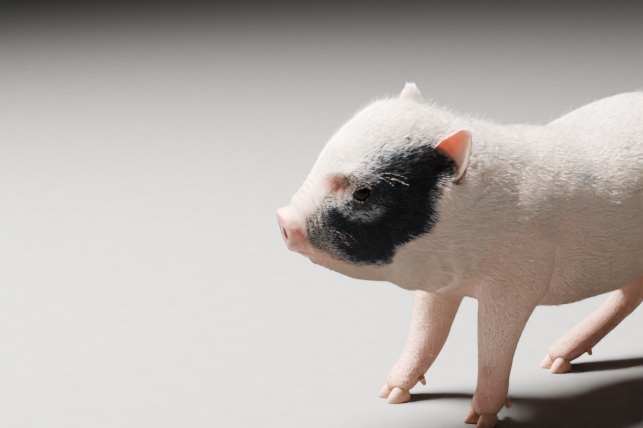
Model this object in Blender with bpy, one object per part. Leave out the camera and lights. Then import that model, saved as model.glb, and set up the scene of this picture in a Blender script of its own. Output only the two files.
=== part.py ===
# A miniature pig piglet standing on four feet, life size, with its head turned a little to its right.
# Metres. The pig faces -X, its left side is at -Y and +Z is up. The floor is at z = 0.
import math

import bmesh
import bpy
import numpy as np
from mathutils import Matrix, Vector

# Gaps and mesh fineness
NODE_GAP = 0.0003
VOXEL = 0.002
FLESH_TRIANGLES = 7600
RING_SIDES = 40
TRUNK_STATIONS = 44
HEAD_STATIONS = 40
LEG_STATIONS = 26
LEG_SIDES = 24
TAIL_STATIONS = 20
TAIL_SIDES = 10
TUBE_END = 0.62  # size of a tube's last ring against the one before it

# Trunk and neck, front to back: x, top, bottom, half width
TRUNK = (
    (-0.058, 0.179, 0.0980, 0.021),
    (-0.046, 0.197, 0.0905, 0.033),
    (-0.028, 0.2035, 0.0865, 0.041),
    (0.004, 0.198, 0.0785, 0.0465),
    (0.030, 0.1915, 0.0705, 0.0505),
    (0.058, 0.1900, 0.0650, 0.0535),
    (0.084, 0.1875, 0.0645, 0.0565),
    (0.104, 0.1930, 0.0665, 0.0585),
    (0.124, 0.1995, 0.0715, 0.0590),
    (0.146, 0.2035, 0.0855, 0.0580),
    (0.172, 0.2035, 0.0955, 0.0545),
    (0.198, 0.1960, 0.1030, 0.0480),
    (0.220, 0.1830, 0.1130, 0.0375),
    (0.234, 0.1630, 0.1290, 0.0200),
)
TRUNK_WIDEST = 0.44  # share of the height, from below, where the trunk is widest
TRUNK_SQUARENESS = 2.25

# Head, in its own frame: distance ahead of the poll, top, bottom, half width
HEAD = (
    (-0.022, 0.0290, -0.0300, 0.0290),
    (0.000, 0.0455, -0.0540, 0.0365),
    (0.018, 0.0550, -0.0650, 0.0400),
    (0.031, 0.0572, -0.0665, 0.0410),
    (0.045, 0.0545, -0.0630, 0.0390),
    (0.058, 0.0495, -0.0575, 0.0350),
    (0.071, 0.0425, -0.0525, 0.0300),
    (0.080, 0.0350, -0.0480, 0.0262),
    (0.087, 0.0278, -0.0420, 0.0230),
    (0.093, 0.0220, -0.0370, 0.0206),
    (0.099, 0.0173, -0.0320, 0.0186),
    (0.1060, 0.0128, -0.0262, 0.0170),
    (0.1100, 0.0088, -0.0192, 0.0130),
)
HEAD_WIDEST = 0.42
HEAD_SQUARENESS = 2.15
HEAD_PIVOT = Vector((-0.012, 0.0, 0.165))
HEAD_TURN = math.radians(16)  # to the pig's right
HEAD_DROP = math.radians(15)  # nose down

# Snout disc
DISC_AHEAD = 0.1153
DISC_DEPTH = 0.0120
DISC_RISE = -0.0028
DISC_HALF_WIDTH = 0.0165
DISC_HALF_HEIGHT = 0.0145
DISC_ROUNDING = 0.0028
DISC_ROUNDING_STEPS = 4
# Share of the disc's depth from its back, and how much narrower it is there
DISC_BACK = ((0.0, 0.0030), (0.35, 0.0012))
NOSTRIL_OFFSET = 0.0075
NOSTRIL_DROP = 0.0006
NOSTRIL_HALF_WIDTH = 0.0032
NOSTRIL_HALF_HEIGHT = 0.0047
NOSTRIL_SIDES = 14
# Distance back from the disc's face, and the share of the nostril's full size
NOSTRIL_STATIONS = ((0.007, 0.45), (0.001, 1.0), (-0.003, 1.25))

# Eyes and lids
EYE_RADIUS = 0.0080
EYE_AHEAD = 0.0625
EYE_RISE = 0.0134
EYE_LOOK_FORWARD = math.radians(22)
EYE_LOOK_UP = math.radians(4)
EYE_SHARE_INSIDE = 0.86
LID_THICKNESS = 0.0020
EYE_OPENING_HALF_WIDTH = 0.0066
EYE_OPENING_HALF_HEIGHT = 0.0051
EYE_SLANT = math.radians(12)
EYE_OPENING_SIDES = 20
EYE_OPENING_POINT = 1.25  # over 1 draws the corners of the opening to points
EYE_OPENING_REACH = (0.35, 2.0)  # in eye radii from the eye's centre

# Ears: a cupped leaf, wide at its root and rounded at its tip
EAR_SUNK = 0.009  # how far the ear's root starts inside the head
EAR_THICKNESS = 0.0019
EAR_CUP = math.radians(115)
EAR_OPENING_OUT = 0.55  # share of the cup that is lost by the tip
EAR_CURL = 0.0045  # how far the tip bends towards the opening
EAR_ROOT_WIDTH = 0.80  # share of the full width that the root has
EAR_SWELL = (0.15, 1.3)  # where the swelling from the root starts, and how soon it is over
EAR_NARROWS = (0.26, 0.76)  # where the ear starts to narrow, and over what share of its length
EAR_LEAST = 0.004
EAR_ACROSS = 11
EAR_ALONG = 10
# Root, direction of the length and direction of the opening: ahead, out to the side, up.
# Then the length above the root, the width, the bluntness of the tip, and how far the tip leans across
# as a share of the width
EARS = {
    "left": ((0.0085, 0.0370, 0.0170), (-0.41, 0.66, 0.55), (0.80, 0.56, 0.06), 0.0372, 0.0300, 1.45, 0.09),
    "right": ((0.0112, 0.0340, 0.0240), (-0.32, 0.06, 0.95), (0.40, 0.91, 0.10), 0.0330, 0.0310, 3.4, 0.14),
}

# Mouth
MOUTH_WIDTH = 0.0011
MOUTH_DEPTH = 0.0022
MOUTH_OUTSIDE = 0.004  # how far the blade reaches outside the lips
MOUTH_FLARE = 3.0  # how many times wider it is there
MOUTH_STATIONS = 14
MOUTH_FADE = (0.16, 0.9)
MOUTH_ROUTE = (
    (0.1100, -0.0165),
    (0.1000, -0.0215),
    (0.0900, -0.0262),
    (0.0790, -0.0275),
    (0.0710, -0.0250),
)

# Legs: x, distance from the midline, z, fore-and-aft radius, sideways radius
LEGS = {
    "foreleg_left": (
        (0.030, 0.036, 0.128, 0.030, 0.021),
        (0.016, 0.037, 0.092, 0.0235, 0.0185),
        (0.009, 0.0365, 0.070, 0.0180, 0.0158),
        (0.0055, 0.0355, 0.048, 0.0142, 0.0134),
        (0.0045, 0.035, 0.031, 0.0114, 0.0112),
        (0.0025, 0.035, 0.017, 0.0108, 0.0112),
        (-0.0040, 0.035, 0.0095, 0.0092, 0.0106),
    ),
    "foreleg_right": (
        (0.030, 0.036, 0.128, 0.030, 0.021),
        (0.018, 0.037, 0.090, 0.0235, 0.0185),
        (0.0065, 0.0365, 0.063, 0.0180, 0.0158),
        (-0.0015, 0.0355, 0.039, 0.0144, 0.0134),
        (-0.0100, 0.0345, 0.025, 0.0120, 0.0112),
        (-0.0205, 0.034, 0.0150, 0.0108, 0.0112),
        (-0.0285, 0.0335, 0.0095, 0.0090, 0.0106),
    ),
    "hindleg_left": (
        (0.192, 0.030, 0.140, 0.034, 0.021),
        (0.172, 0.038, 0.106, 0.028, 0.0185),
        (0.188, 0.037, 0.081, 0.0190, 0.0145),
        (0.208, 0.036, 0.060, 0.0135, 0.0118),
        (0.202, 0.036, 0.040, 0.0110, 0.0104),
        (0.188, 0.037, 0.018, 0.0106, 0.0112),
        (0.180, 0.038, 0.0098, 0.0090, 0.0106),
    ),
    "hindleg_right": (
        (0.190, 0.030, 0.140, 0.034, 0.021),
        (0.160, 0.035, 0.104, 0.028, 0.0185),
        (0.170, 0.032, 0.077, 0.0190, 0.0145),
        (0.183, 0.029, 0.052, 0.0135, 0.0118),
        (0.160, 0.0275, 0.0345, 0.0112, 0.0104),
        (0.122, 0.0265, 0.0160, 0.0106, 0.0112),
        (0.108, 0.026, 0.0098, 0.0090, 0.0106),
    ),
}

# Shoulder and thigh muscles: centre x, distance from the midline, z, then the three radii
MUSCLES = {
    "foreleg": ((0.030, 0.030, 0.126), (0.036, 0.0245, 0.048)),
    "hindleg": ((0.190, 0.028, 0.134), (0.041, 0.0265, 0.050)),
}
# The planes round each leg's wedge of the trunk's side, and round the leg below it, for the right side:
# a point, and the direction out of the wedge
LEG_WEDGE = {
    "foreleg": (
        ((0.0, 0.0120, 0.080), (0.0, -0.835, 0.549)),
        ((0.0, 0.0008, 0.0), (0.0, -1.0, 0.0)),
        ((-0.026, 0.0, 0.070), (-0.975, 0.0, 0.223)),
        ((0.050, 0.0, 0.070), (0.978, 0.0, -0.207)),
        ((0.0, 0.0, 0.056), (0.0, 0.0, -1.0)),
    ),
    "hindleg": (
        ((0.0, 0.0100, 0.075), (0.0, -0.866, 0.500)),
        ((0.0, 0.0008, 0.0), (0.0, -1.0, 0.0)),
        ((0.128, 0.0, 0.062), (-0.982, 0.0, 0.191)),
        ((0.232, 0.0, 0.100), (0.992, 0.0, 0.124)),
        ((0.0, 0.0, 0.054), (0.0, 0.0, -1.0)),
    ),
}
LEG_BELOW = {
    "foreleg": (
        ((0.0, 0.0, 0.0615), (0.0, 0.0, 1.0)),
        ((0.0, 0.0008, 0.0), (0.0, -1.0, 0.0)),
        ((0.050, 0.0, 0.0), (1.0, 0.0, 0.0)),
    ),
    "hindleg": (
        ((0.0, 0.0, 0.0600), (0.0, 0.0, 1.0)),
        ((0.0, 0.0008, 0.0), (0.0, -1.0, 0.0)),
        ((0.080, 0.0, 0.0), (-1.0, 0.0, 0.0)),
    ),
}

# Head details in the flesh, in the head's frame: ahead, side, up, then the three radii
JOWL = ((0.030, 0.021, -0.036), (0.030, 0.0185, 0.027))
BROW = ((0.0580, 0.0225, 0.0250), (0.014, 0.0080, 0.0060))

# Feet: each has two main claws and two dewclaws
CLAW_LENGTH = 0.0175
CLAW_HALF_WIDTH = 0.0051
CLAW_HEIGHT = 0.0125
CLAW_SPREAD = math.radians(7)
CLAW_CLEFT = 0.0011
CLAW_AHEAD = 0.0095  # the claw's tip ahead of the leg's last station
DEWCLAW_LENGTH = 0.0070
DEWCLAW_RADIUS = 0.0029
DEWCLAW_TIP = 0.55  # the tip's radius against the root's
DEWCLAW_SIDES = 10
DEWCLAW_SUNK = 0.0006  # how far the dewclaw's centre is inside the back of the pastern
DEWCLAW_SIDE = 0.0066
DEWCLAW_RISE = 0.0122
DEWCLAW_TILT = math.radians(180 - 30)
DEWCLAW_SPREAD = math.radians(10)
# Share of a claw's length from its heel, then the shares of its width and height there
CLAW_STATIONS = (
    (0.0, 0.62, 0.62),
    (0.18, 0.92, 0.86),
    (0.45, 1.0, 1.0),
    (0.70, 0.88, 0.74),
    (0.88, 0.62, 0.44),
    (1.0, 0.30, 0.20),
)
CLAW_SIDES = 9
FOOT_TURN_OUT = math.radians(5)

# Tail: x, y, z, radius
TAIL = (
    (0.222, 0.000, 0.176, 0.0075),
    (0.237, 0.001, 0.176, 0.0066),
    (0.249, 0.003, 0.167, 0.0054),
    (0.255, 0.007, 0.151, 0.0045),
    (0.256, 0.011, 0.134, 0.0037),
    (0.253, 0.013, 0.117, 0.0029),
    (0.249, 0.012, 0.106, 0.0016),
)

# Cuts between the head, neck and torso: a point on each plane and its tilt back from upright
HEAD_CUT_AHEAD = -0.002
NECK_CUT_X = 0.012
CUT_HEIGHT = 0.155
CUT_TILT = math.radians(25)
CUTTER_SIZE = 0.8
CUTTER_CENTRE = Vector((0.05, 0.0, 0.15))

# Flesh joints that are smoothed most: place and reach
BLENDS = {
    "foreleg": (0.030, 0.040, 0.100, 0.055),
    "shoulder": (0.024, 0.042, 0.155, 0.055),
    "hindleg": (0.183, 0.040, 0.105, 0.060),
    "neck": (-0.010, 0.000, 0.150, 0.085),
}
BLEND_FULLNESS = 1.6  # over 1 keeps the middle of each joint at full weight
SMOOTH_ALL = 5
SMOOTH_BLENDS = 22

# Colours from the photo: colour, roughness
FINISHES = {
    "skin_white": ((0.86, 0.74, 0.68), 0.62),
    "skin_patched": ((0.60, 0.52, 0.50), 0.60),
    "ear_pink": ((0.86, 0.55, 0.47), 0.55),
    "eye_dark": ((0.035, 0.022, 0.016), 0.08),
    "claw_horn": ((0.72, 0.53, 0.44), 0.40),
}
# By the start of a node's name; every other node is skin_white
NODE_FINISHES = {
    "head": "skin_patched",
    "ear": "ear_pink",
    "eye": "eye_dark",
    "claw": "claw_horn",
    "dewclaw": "claw_horn",
}
SHARP_ANGLE = math.radians(40)


def clear_scene():
    for obj in list(bpy.data.objects):
        bpy.data.objects.remove(obj, do_unlink=True)


def make_finishes():
    made = {}
    for name, (colour, roughness) in FINISHES.items():
        material = bpy.data.materials.new(name)
        material.use_nodes = True
        shader = material.node_tree.nodes["Principled BSDF"]
        shader.inputs["Base Color"].default_value = (*colour, 1.0)
        shader.inputs["Roughness"].default_value = roughness
        shader.inputs["Metallic"].default_value = 0.0
        made[name] = material
    return made


def new_object(name, bm):
    bmesh.ops.recalc_face_normals(bm, faces=bm.faces)
    if bm.calc_volume(signed=True) < 0:
        bmesh.ops.reverse_faces(bm, faces=bm.faces)
    mesh = bpy.data.meshes.new(name)
    bm.to_mesh(mesh)
    bm.free()
    obj = bpy.data.objects.new(name, mesh)
    bpy.context.scene.collection.objects.link(obj)
    return obj


def evaluated_mesh(obj):
    bpy.context.view_layer.update()
    graph = bpy.context.evaluated_depsgraph_get()
    return bpy.data.meshes.new_from_object(obj.evaluated_get(graph))


def apply_modifiers(obj):
    mesh = evaluated_mesh(obj)
    obj.modifiers.clear()
    obj.data = mesh


def drop(*objects):
    for obj in objects:
        bpy.data.objects.remove(obj, do_unlink=True)


# Rows of sizes read off a smooth curve through the rows given
def resampled(rows, count):
    rows = np.array(rows, float)
    lead = rows[:, :3] if rows.shape[1] > 4 else rows[:, :1]
    steps = np.linalg.norm(np.diff(lead, axis=0), axis=1)
    at = np.concatenate(([0.0], np.cumsum(steps)))
    slopes = np.gradient(rows, at, axis=0)
    made = []
    for s in np.linspace(0.0, at[-1], count):
        i = min(int(np.searchsorted(at, s, side="right")) - 1, len(at) - 2)
        span = at[i + 1] - at[i]
        t = (s - at[i]) / span
        made.append(
            (2 * t**3 - 3 * t**2 + 1) * rows[i]
            + (t**3 - 2 * t**2 + t) * span * slopes[i]
            + (3 * t**2 - 2 * t**3) * rows[i + 1]
            + (t**3 - t**2) * span * slopes[i + 1]
        )
    return np.array(made)


# A closed section across the X axis: an oval whose upper and lower halves differ in height
def section_ring(at, top, bottom, half_width, widest, squareness, sides=RING_SIDES):
    middle = bottom + widest * (top - bottom)
    ring = []
    for k in range(sides):
        angle = 2 * math.pi * k / sides
        c, s = math.cos(angle), math.sin(angle)
        across = math.copysign(abs(c) ** (2 / squareness), c) * half_width
        rise = math.copysign(abs(s) ** (2 / squareness), s)
        rise *= (top - middle) if s > 0 else (middle - bottom)
        ring.append(Vector((at, across, middle + rise)))
    return ring


# A closed body through rings of equal count
def add_loft(bm, rings):
    rows = [[bm.verts.new(point) for point in ring] for ring in rings]
    count = len(rows[0])
    for near, far in zip(rows, rows[1:]):
        for k in range(count):
            bm.faces.new((near[k], near[(k + 1) % count], far[(k + 1) % count], far[k]))
    bm.faces.new(rows[0])
    bm.faces.new(rows[-1])


# A round-ended tube. Each row holds a place, a fore-and-aft radius and a sideways radius
def add_tube(bm, rows, sides, closing=0.5):
    places = [Vector(row[:3]) for row in rows]
    rings = []
    for i, row in enumerate(rows):
        along = (places[min(i + 1, len(rows) - 1)] - places[max(i - 1, 0)]).normalized()
        side = Vector((0, 1, 0))
        side = (side - side.dot(along) * along).normalized()
        fore = side.cross(along)
        fore_radius, side_radius = row[3], row[-1]
        ring = [
            places[i] + fore * fore_radius * math.cos(a) + side * side_radius * math.sin(a)
            for a in (2 * math.pi * k / sides for k in range(sides))
        ]
        rings.append(ring)
    for index, sign in ((0, -1), (-1, 1)):
        step = (places[1] - places[0]) if index == 0 else (places[-1] - places[-2])
        reach = step.normalized() * sign * closing * min(rows[index][3], rows[index][-1])
        cap = [places[index] + (p - places[index]) * TUBE_END + reach for p in rings[index]]
        rings.insert(0, cap) if index == 0 else rings.append(cap)
    add_loft(bm, rings)


def add_ellipsoid(bm, centre, radii, matrix=None, grow=0.0, segments=32, rings=18):
    radii = [r + grow for r in radii]
    place = Matrix.Translation(centre) @ Matrix.Diagonal((*radii, 1.0))
    if matrix is not None:
        place = matrix @ place
    bmesh.ops.create_uvsphere(bm, u_segments=segments, v_segments=rings, radius=1.0, matrix=place)


# From the head's frame (-ahead, to the pig's right, up) to the pig's
def head_matrix():
    return (
        Matrix.Translation(HEAD_PIVOT)
        @ Matrix.Rotation(-HEAD_TURN, 4, "Z")
        @ Matrix.Rotation(-HEAD_DROP, 4, "Y")
    )


def side_sign(side):
    return -1.0 if side == "left" else 1.0


# Half the head's width at a place ahead of the poll and a height
def head_half_width(ahead, rise):
    rows = resampled(HEAD, 2 * HEAD_STATIONS)
    row = rows[np.argmin(abs(rows[:, 0] - ahead))]
    middle = row[2] + HEAD_WIDEST * (row[1] - row[2])
    reach = (row[1] - middle) if rise > middle else (middle - row[2])
    share = min(1.0, abs(rise - middle) / reach)
    return row[3] * (1 - share**HEAD_SQUARENESS) ** (1 / HEAD_SQUARENESS)


def eye_centre(side):
    surface = head_half_width(EYE_AHEAD, EYE_RISE)
    across = surface - EYE_RADIUS * EYE_SHARE_INSIDE
    return Vector((-EYE_AHEAD, side_sign(side) * across, EYE_RISE))


# From an eye's frame, which looks along its +X with its corners along Y, to the head's frame
def eye_frame(side):
    sign = side_sign(side)
    turn = sign * (math.pi / 2 + EYE_LOOK_FORWARD)
    return (
        Matrix.Translation(eye_centre(side))
        @ Matrix.Rotation(turn, 4, "Z")
        @ Matrix.Rotation(-EYE_LOOK_UP, 4, "Y")
        @ Matrix.Rotation(-sign * EYE_SLANT, 4, "X")
    )


def leg_rows(name):
    sign = side_sign(name.split("_")[1])
    return [(x, sign * across, z, fore, side) for x, across, z, fore, side in LEGS[name]]


# The whole body in one closed mesh, with the trunk, head, muscles and legs run into each other
def make_flesh():
    bm = bmesh.new()
    rows = resampled(TRUNK, TRUNK_STATIONS)
    add_loft(bm, [section_ring(x, t, b, w, TRUNK_WIDEST, TRUNK_SQUARENESS) for x, t, b, w in rows])
    placed = head_matrix()
    head_rings = [
        [placed @ point for point in section_ring(-a, t, b, w, HEAD_WIDEST, HEAD_SQUARENESS)]
        for a, t, b, w in resampled(HEAD, HEAD_STATIONS)
    ]
    add_loft(bm, head_rings)
    add_disc(bm, placed)
    for side in ("left", "right"):
        sign = side_sign(side)
        for (ahead, across, rise), radii in (JOWL, BROW):
            add_ellipsoid(bm, Vector((-ahead, sign * across, rise)), radii, placed)
        lid_radius = EYE_RADIUS + NODE_GAP + LID_THICKNESS
        add_ellipsoid(bm, Vector(), [lid_radius] * 3, placed @ eye_frame(side))
        for kind in ("foreleg", "hindleg"):
            (x, across, z), radii = MUSCLES[kind]
            add_ellipsoid(bm, Vector((x, sign * across, z)), radii)
    for name in LEGS:
        add_tube(bm, resampled(leg_rows(name), LEG_STATIONS), LEG_SIDES)
    flesh = new_object("flesh", bm)

    run_together(flesh, VOXEL)
    weigh_blends(flesh)
    soften(flesh, "soften", "", SMOOTH_ALL)
    soften(flesh, "blend", "blend", SMOOTH_BLENDS)
    fewer_faces(flesh, FLESH_TRIANGLES)
    return flesh


def run_together(obj, voxel):
    remesh = obj.modifiers.new("run_together", "REMESH")
    remesh.mode = "VOXEL"
    remesh.voxel_size = voxel
    apply_modifiers(obj)


def soften(obj, name, group, rounds):
    smooth = obj.modifiers.new(name, "SMOOTH")
    smooth.factor = 0.5
    smooth.iterations = rounds
    smooth.vertex_group = group
    apply_modifiers(obj)


def fewer_faces(obj, triangles):
    decimate = obj.modifiers.new("fewer_faces", "DECIMATE")
    decimate.ratio = triangles / (2 * len(obj.data.polygons))
    decimate.use_collapse_triangulate = True
    apply_modifiers(obj)


# A vertex group that is full at each joint of the flesh and fades out with distance
def weigh_blends(flesh):
    points = np.array([v.co for v in flesh.data.vertices])
    weight = np.zeros(len(points))
    for x, across, z, reach in BLENDS.values():
        for sign in (-1.0, 1.0):
            away = np.linalg.norm(points - np.array((x, sign * across, z)), axis=1)
            weight = np.maximum(weight, np.clip(BLEND_FULLNESS * (1 - away / reach), 0, 1))
    group = flesh.vertex_groups.new(name="blend")
    for index in np.nonzero(weight > 0)[0]:
        group.add([int(index)], float(weight[index]), "REPLACE")


def disc_ring(ahead, grow):
    ring = []
    for k in range(RING_SIDES):
        angle = 2 * math.pi * k / RING_SIDES
        across = (DISC_HALF_WIDTH + grow) * math.cos(angle)
        rise = DISC_RISE + (DISC_HALF_HEIGHT + grow) * math.sin(angle)
        ring.append(Vector((-ahead, across, rise)))
    return ring


# The snout disc, with a rounded rim
def add_disc(bm, placed):
    back = DISC_AHEAD - DISC_DEPTH
    profile = [(back + share * DISC_DEPTH, -narrower) for share, narrower in DISC_BACK]
    for k in range(DISC_ROUNDING_STEPS + 1):
        angle = 0.5 * math.pi * k / DISC_ROUNDING_STEPS
        ahead = DISC_AHEAD - DISC_ROUNDING * (1 - math.sin(angle))
        profile.append((ahead, DISC_ROUNDING * (math.cos(angle) - 1)))
    rings = [[placed @ p for p in disc_ring(ahead, grow)] for ahead, grow in profile]
    add_loft(bm, rings)


# What lies behind every plane. Each holds a point and an outward direction, for the right side
def convex_cutter(planes, sign, grow):
    bm = bmesh.new()
    bmesh.ops.create_cube(bm, size=CUTTER_SIZE)
    bm.transform(Matrix.Translation(CUTTER_CENTRE))
    for point, direction in planes:
        point, direction = Vector(point), Vector(direction).normalized()
        point.y *= sign
        direction.y *= sign
        bmesh.ops.bisect_plane(
            bm,
            geom=bm.verts[:] + bm.edges[:] + bm.faces[:],
            plane_co=point + direction * grow,
            plane_no=direction,
            clear_outer=True,
        )
        bmesh.ops.holes_fill(bm, edges=[edge for edge in bm.edges if edge.is_boundary])
    return new_object("bounds", bm)


# What of the flesh belongs to a leg: a wedge of the trunk's side and the leg below it
def leg_bounds(name, grow):
    kind, side = name.split("_")
    sign = side_sign(side)
    bounds = convex_cutter(LEG_WEDGE[kind], sign, grow)
    below = convex_cutter(LEG_BELOW[kind], sign, grow)
    boolean(bounds, below, "UNION")
    drop(below)
    return bounds


def boolean(obj, other, operation, solver="EXACT"):
    modifier = obj.modifiers.new("cut", "BOOLEAN")
    modifier.operation = operation
    modifier.solver = solver
    modifier.object = other
    apply_modifiers(obj)
    keep_largest(obj)


# Leaves only the largest closed surface of a mesh
def keep_largest(obj):
    bm = bmesh.new()
    bm.from_mesh(obj.data)
    bmesh.ops.triangulate(bm, faces=bm.faces)
    left = set(bm.verts)
    islands = []
    while left:
        stack = [left.pop()]
        island = []
        while stack:
            vert = stack.pop()
            island.append(vert)
            for edge in vert.link_edges:
                other = edge.other_vert(vert)
                if other in left:
                    left.remove(other)
                    stack.append(other)
        islands.append(island)
    islands.sort(key=len)
    for island in islands[:-1]:
        bmesh.ops.delete(bm, geom=island, context="VERTS")
    bm.to_mesh(obj.data)
    bm.free()


# Cuts a node out of the flesh that is left, and leaves a thin gap round it
def taken(rest, name, bounds_of):
    node = rest.copy()
    node.data = rest.data.copy()
    node.name = name
    bpy.context.scene.collection.objects.link(node)
    exact, grown = bounds_of(0.0), bounds_of(NODE_GAP)
    boolean(node, exact, "INTERSECT")
    boolean(rest, grown, "DIFFERENCE")
    drop(exact, grown)
    return node


# The head, neck, torso and legs, cut from the flesh
def part_flesh(flesh):
    nodes = {}
    for name in LEGS:
        nodes[name] = taken(flesh, name, lambda grow, name=name: leg_bounds(name, grow))
    facing = head_matrix().to_3x3() @ Vector((-1, 0, 0))
    facing = Vector((facing.x, facing.y, 0)).normalized()
    at_poll = Vector((HEAD_PIVOT.x, HEAD_PIVOT.y, CUT_HEIGHT)) + facing * HEAD_CUT_AHEAD
    at_neck = Vector((NECK_CUT_X, 0, CUT_HEIGHT))
    for name, point, ahead in (("head", at_poll, facing), ("neck", at_neck, Vector((-1, 0, 0)))):
        behind = -(ahead * math.cos(CUT_TILT) + Vector((0, 0, math.sin(CUT_TILT))))
        cut = [(point, behind)]
        nodes[name] = taken(flesh, name, lambda grow, cut=cut: convex_cutter(cut, 1.0, grow))
    flesh.name = "torso"
    nodes["torso"] = flesh
    return nodes


# A copy of a mesh, moved outwards by a small distance
def grown_copy(obj, by):
    bm = bmesh.new()
    bm.from_mesh(obj.data)
    bm.normal_update()
    for vert in bm.verts:
        vert.co += vert.normal * by
    return new_object(obj.name + "_grown", bm)


def ball(name, radius, matrix, segments=20, rings=12):
    bm = bmesh.new()
    bmesh.ops.create_uvsphere(bm, u_segments=segments, v_segments=rings, radius=radius, matrix=matrix)
    return new_object(name, bm)


# An almond-shaped cutter that opens the lids along the eye's line of sight
def eye_opening(side):
    bm = bmesh.new()
    rings = []
    for along in EYE_OPENING_REACH:
        ring = []
        for k in range(EYE_OPENING_SIDES):
            angle = 2 * math.pi * k / EYE_OPENING_SIDES
            across = EYE_OPENING_HALF_WIDTH * math.cos(angle)
            rise = math.copysign(abs(math.sin(angle)) ** EYE_OPENING_POINT, math.sin(angle))
            ring.append(Vector((along * EYE_RADIUS, across, EYE_OPENING_HALF_HEIGHT * rise)))
        rings.append(ring)
    add_loft(bm, rings)
    bm.transform(head_matrix() @ eye_frame(side))
    return new_object("opening", bm)


# Hollows the socket for each eyeball and opens the lids
def open_eyes(head):
    for side in ("left", "right"):
        placed = head_matrix() @ eye_frame(side)
        socket = ball("socket", EYE_RADIUS + NODE_GAP, placed)
        opening = eye_opening(side)
        boolean(socket, opening, "UNION")
        boolean(head, socket, "DIFFERENCE")
        drop(socket, opening)


def cut_nostrils(head):
    for sign in (-1.0, 1.0):
        bm = bmesh.new()
        rings = []
        for back, share in NOSTRIL_STATIONS:
            ring = []
            for k in range(NOSTRIL_SIDES):
                angle = 2 * math.pi * k / NOSTRIL_SIDES
                across = NOSTRIL_OFFSET + share * NOSTRIL_HALF_WIDTH * math.cos(angle)
                rise = DISC_RISE - NOSTRIL_DROP + share * NOSTRIL_HALF_HEIGHT * math.sin(angle)
                ring.append(Vector((back - DISC_AHEAD, sign * across, rise)))
            rings.append(ring)
        add_loft(bm, rings)
        bm.transform(head_matrix())
        cutter = new_object("nostril", bm)
        boolean(head, cutter, "DIFFERENCE")
        drop(cutter)


# The line of the mouth: a thin blade that follows the lips on each side
def cut_mouth(head):
    route = resampled(MOUTH_ROUTE, MOUTH_STATIONS)
    fade_least, fade_rate = MOUTH_FADE
    for sign in (-1.0, 1.0):
        bm = bmesh.new()
        rings = []
        for i, (ahead, rise) in enumerate(route):
            surface = head_half_width(ahead, rise)
            share = min(1.0, fade_least + fade_rate * (1 - i / (len(route) - 1)))
            fade = math.sin(math.pi * share / 2)
            flare = MOUTH_FLARE * 0.5 * MOUTH_WIDTH * fade
            inner, outer = surface - MOUTH_DEPTH * fade, surface + MOUTH_OUTSIDE
            ring = [
                Vector((-ahead, sign * inner, rise)),
                Vector((-ahead, sign * outer, rise - flare)),
                Vector((-ahead, sign * outer, rise + flare)),
            ]
            rings.append(ring)
        add_loft(bm, rings)
        bm.transform(head_matrix())
        cutter = new_object("mouth", bm)
        boolean(head, cutter, "DIFFERENCE")
        drop(cutter)


# From an ear's frame, with its length along Z and its opening towards X, to the pig's frame
def ear_frame(side):
    sign = side_sign(side)
    root, along, opening = (Vector((-ahead, sign * out, up)) for ahead, out, up in EARS[side][:3])
    along.normalize()
    opening = (opening - opening.dot(along) * along).normalized()
    turn = Matrix((opening, along.cross(opening), along)).transposed().to_4x4()
    return head_matrix() @ Matrix.Translation(root) @ turn


# A cupped ear whose root is shaped to the head
def make_ear(side, head):
    length, full_width, bluntness, lean = EARS[side][3:]
    swell_start, swell_rate = EAR_SWELL
    narrow_start, narrow_span = EAR_NARROWS
    bm = bmesh.new()
    rows = []
    for j in range(EAR_ALONG):
        t = j / (EAR_ALONG - 1)
        swell = math.sin(math.pi * min(1.0, swell_start + swell_rate * t))
        width = full_width * (EAR_ROOT_WIDTH + (1 - EAR_ROOT_WIDTH) * swell)
        narrowing = max(0.0, (t - narrow_start) / narrow_span)
        width *= math.sqrt(max(0.0, 1 - narrowing**bluntness))
        cup = EAR_CUP * (1 - EAR_OPENING_OUT * t)
        radius = max(width, EAR_LEAST) / cup
        rise = (length + EAR_SUNK) * t - EAR_SUNK
        row = []
        for i in range(EAR_ACROSS):
            angle = cup * (i / (EAR_ACROSS - 1) - 0.5)
            x = radius * (math.cos(cup / 2) - math.cos(angle)) + EAR_CURL * t * t
            y = radius * math.sin(angle) - lean * full_width * t * t
            row.append(bm.verts.new((x, y, rise)))
        rows.append(row)
    for near, far in zip(rows, rows[1:]):
        for i in range(EAR_ACROSS - 1):
            bm.faces.new((near[i], near[i + 1], far[i + 1], far[i]))
    bm.transform(ear_frame(side))
    ear = new_object("ear_" + side, bm)
    shell = ear.modifiers.new("thickness", "SOLIDIFY")
    shell.thickness = EAR_THICKNESS
    shell.offset = 0.0
    apply_modifiers(ear)
    boolean(ear, head, "DIFFERENCE")
    return ear


def make_tail(torso):
    bm = bmesh.new()
    add_tube(bm, resampled([(*row, row[3]) for row in TAIL], TAIL_STATIONS), TAIL_SIDES)
    tail = new_object("tail", bm)
    boolean(tail, torso, "DIFFERENCE")
    return tail


# From a foot's frame, with -X towards the toes and its origin on the floor, to the pig's frame
def foot_frame(name):
    last = leg_rows(name)[-1]
    sign = side_sign(name.split("_")[1])
    turn = -sign * FOOT_TURN_OUT
    return Matrix.Translation((last[0], last[1], 0)) @ Matrix.Rotation(turn, 4, "Z")


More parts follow.
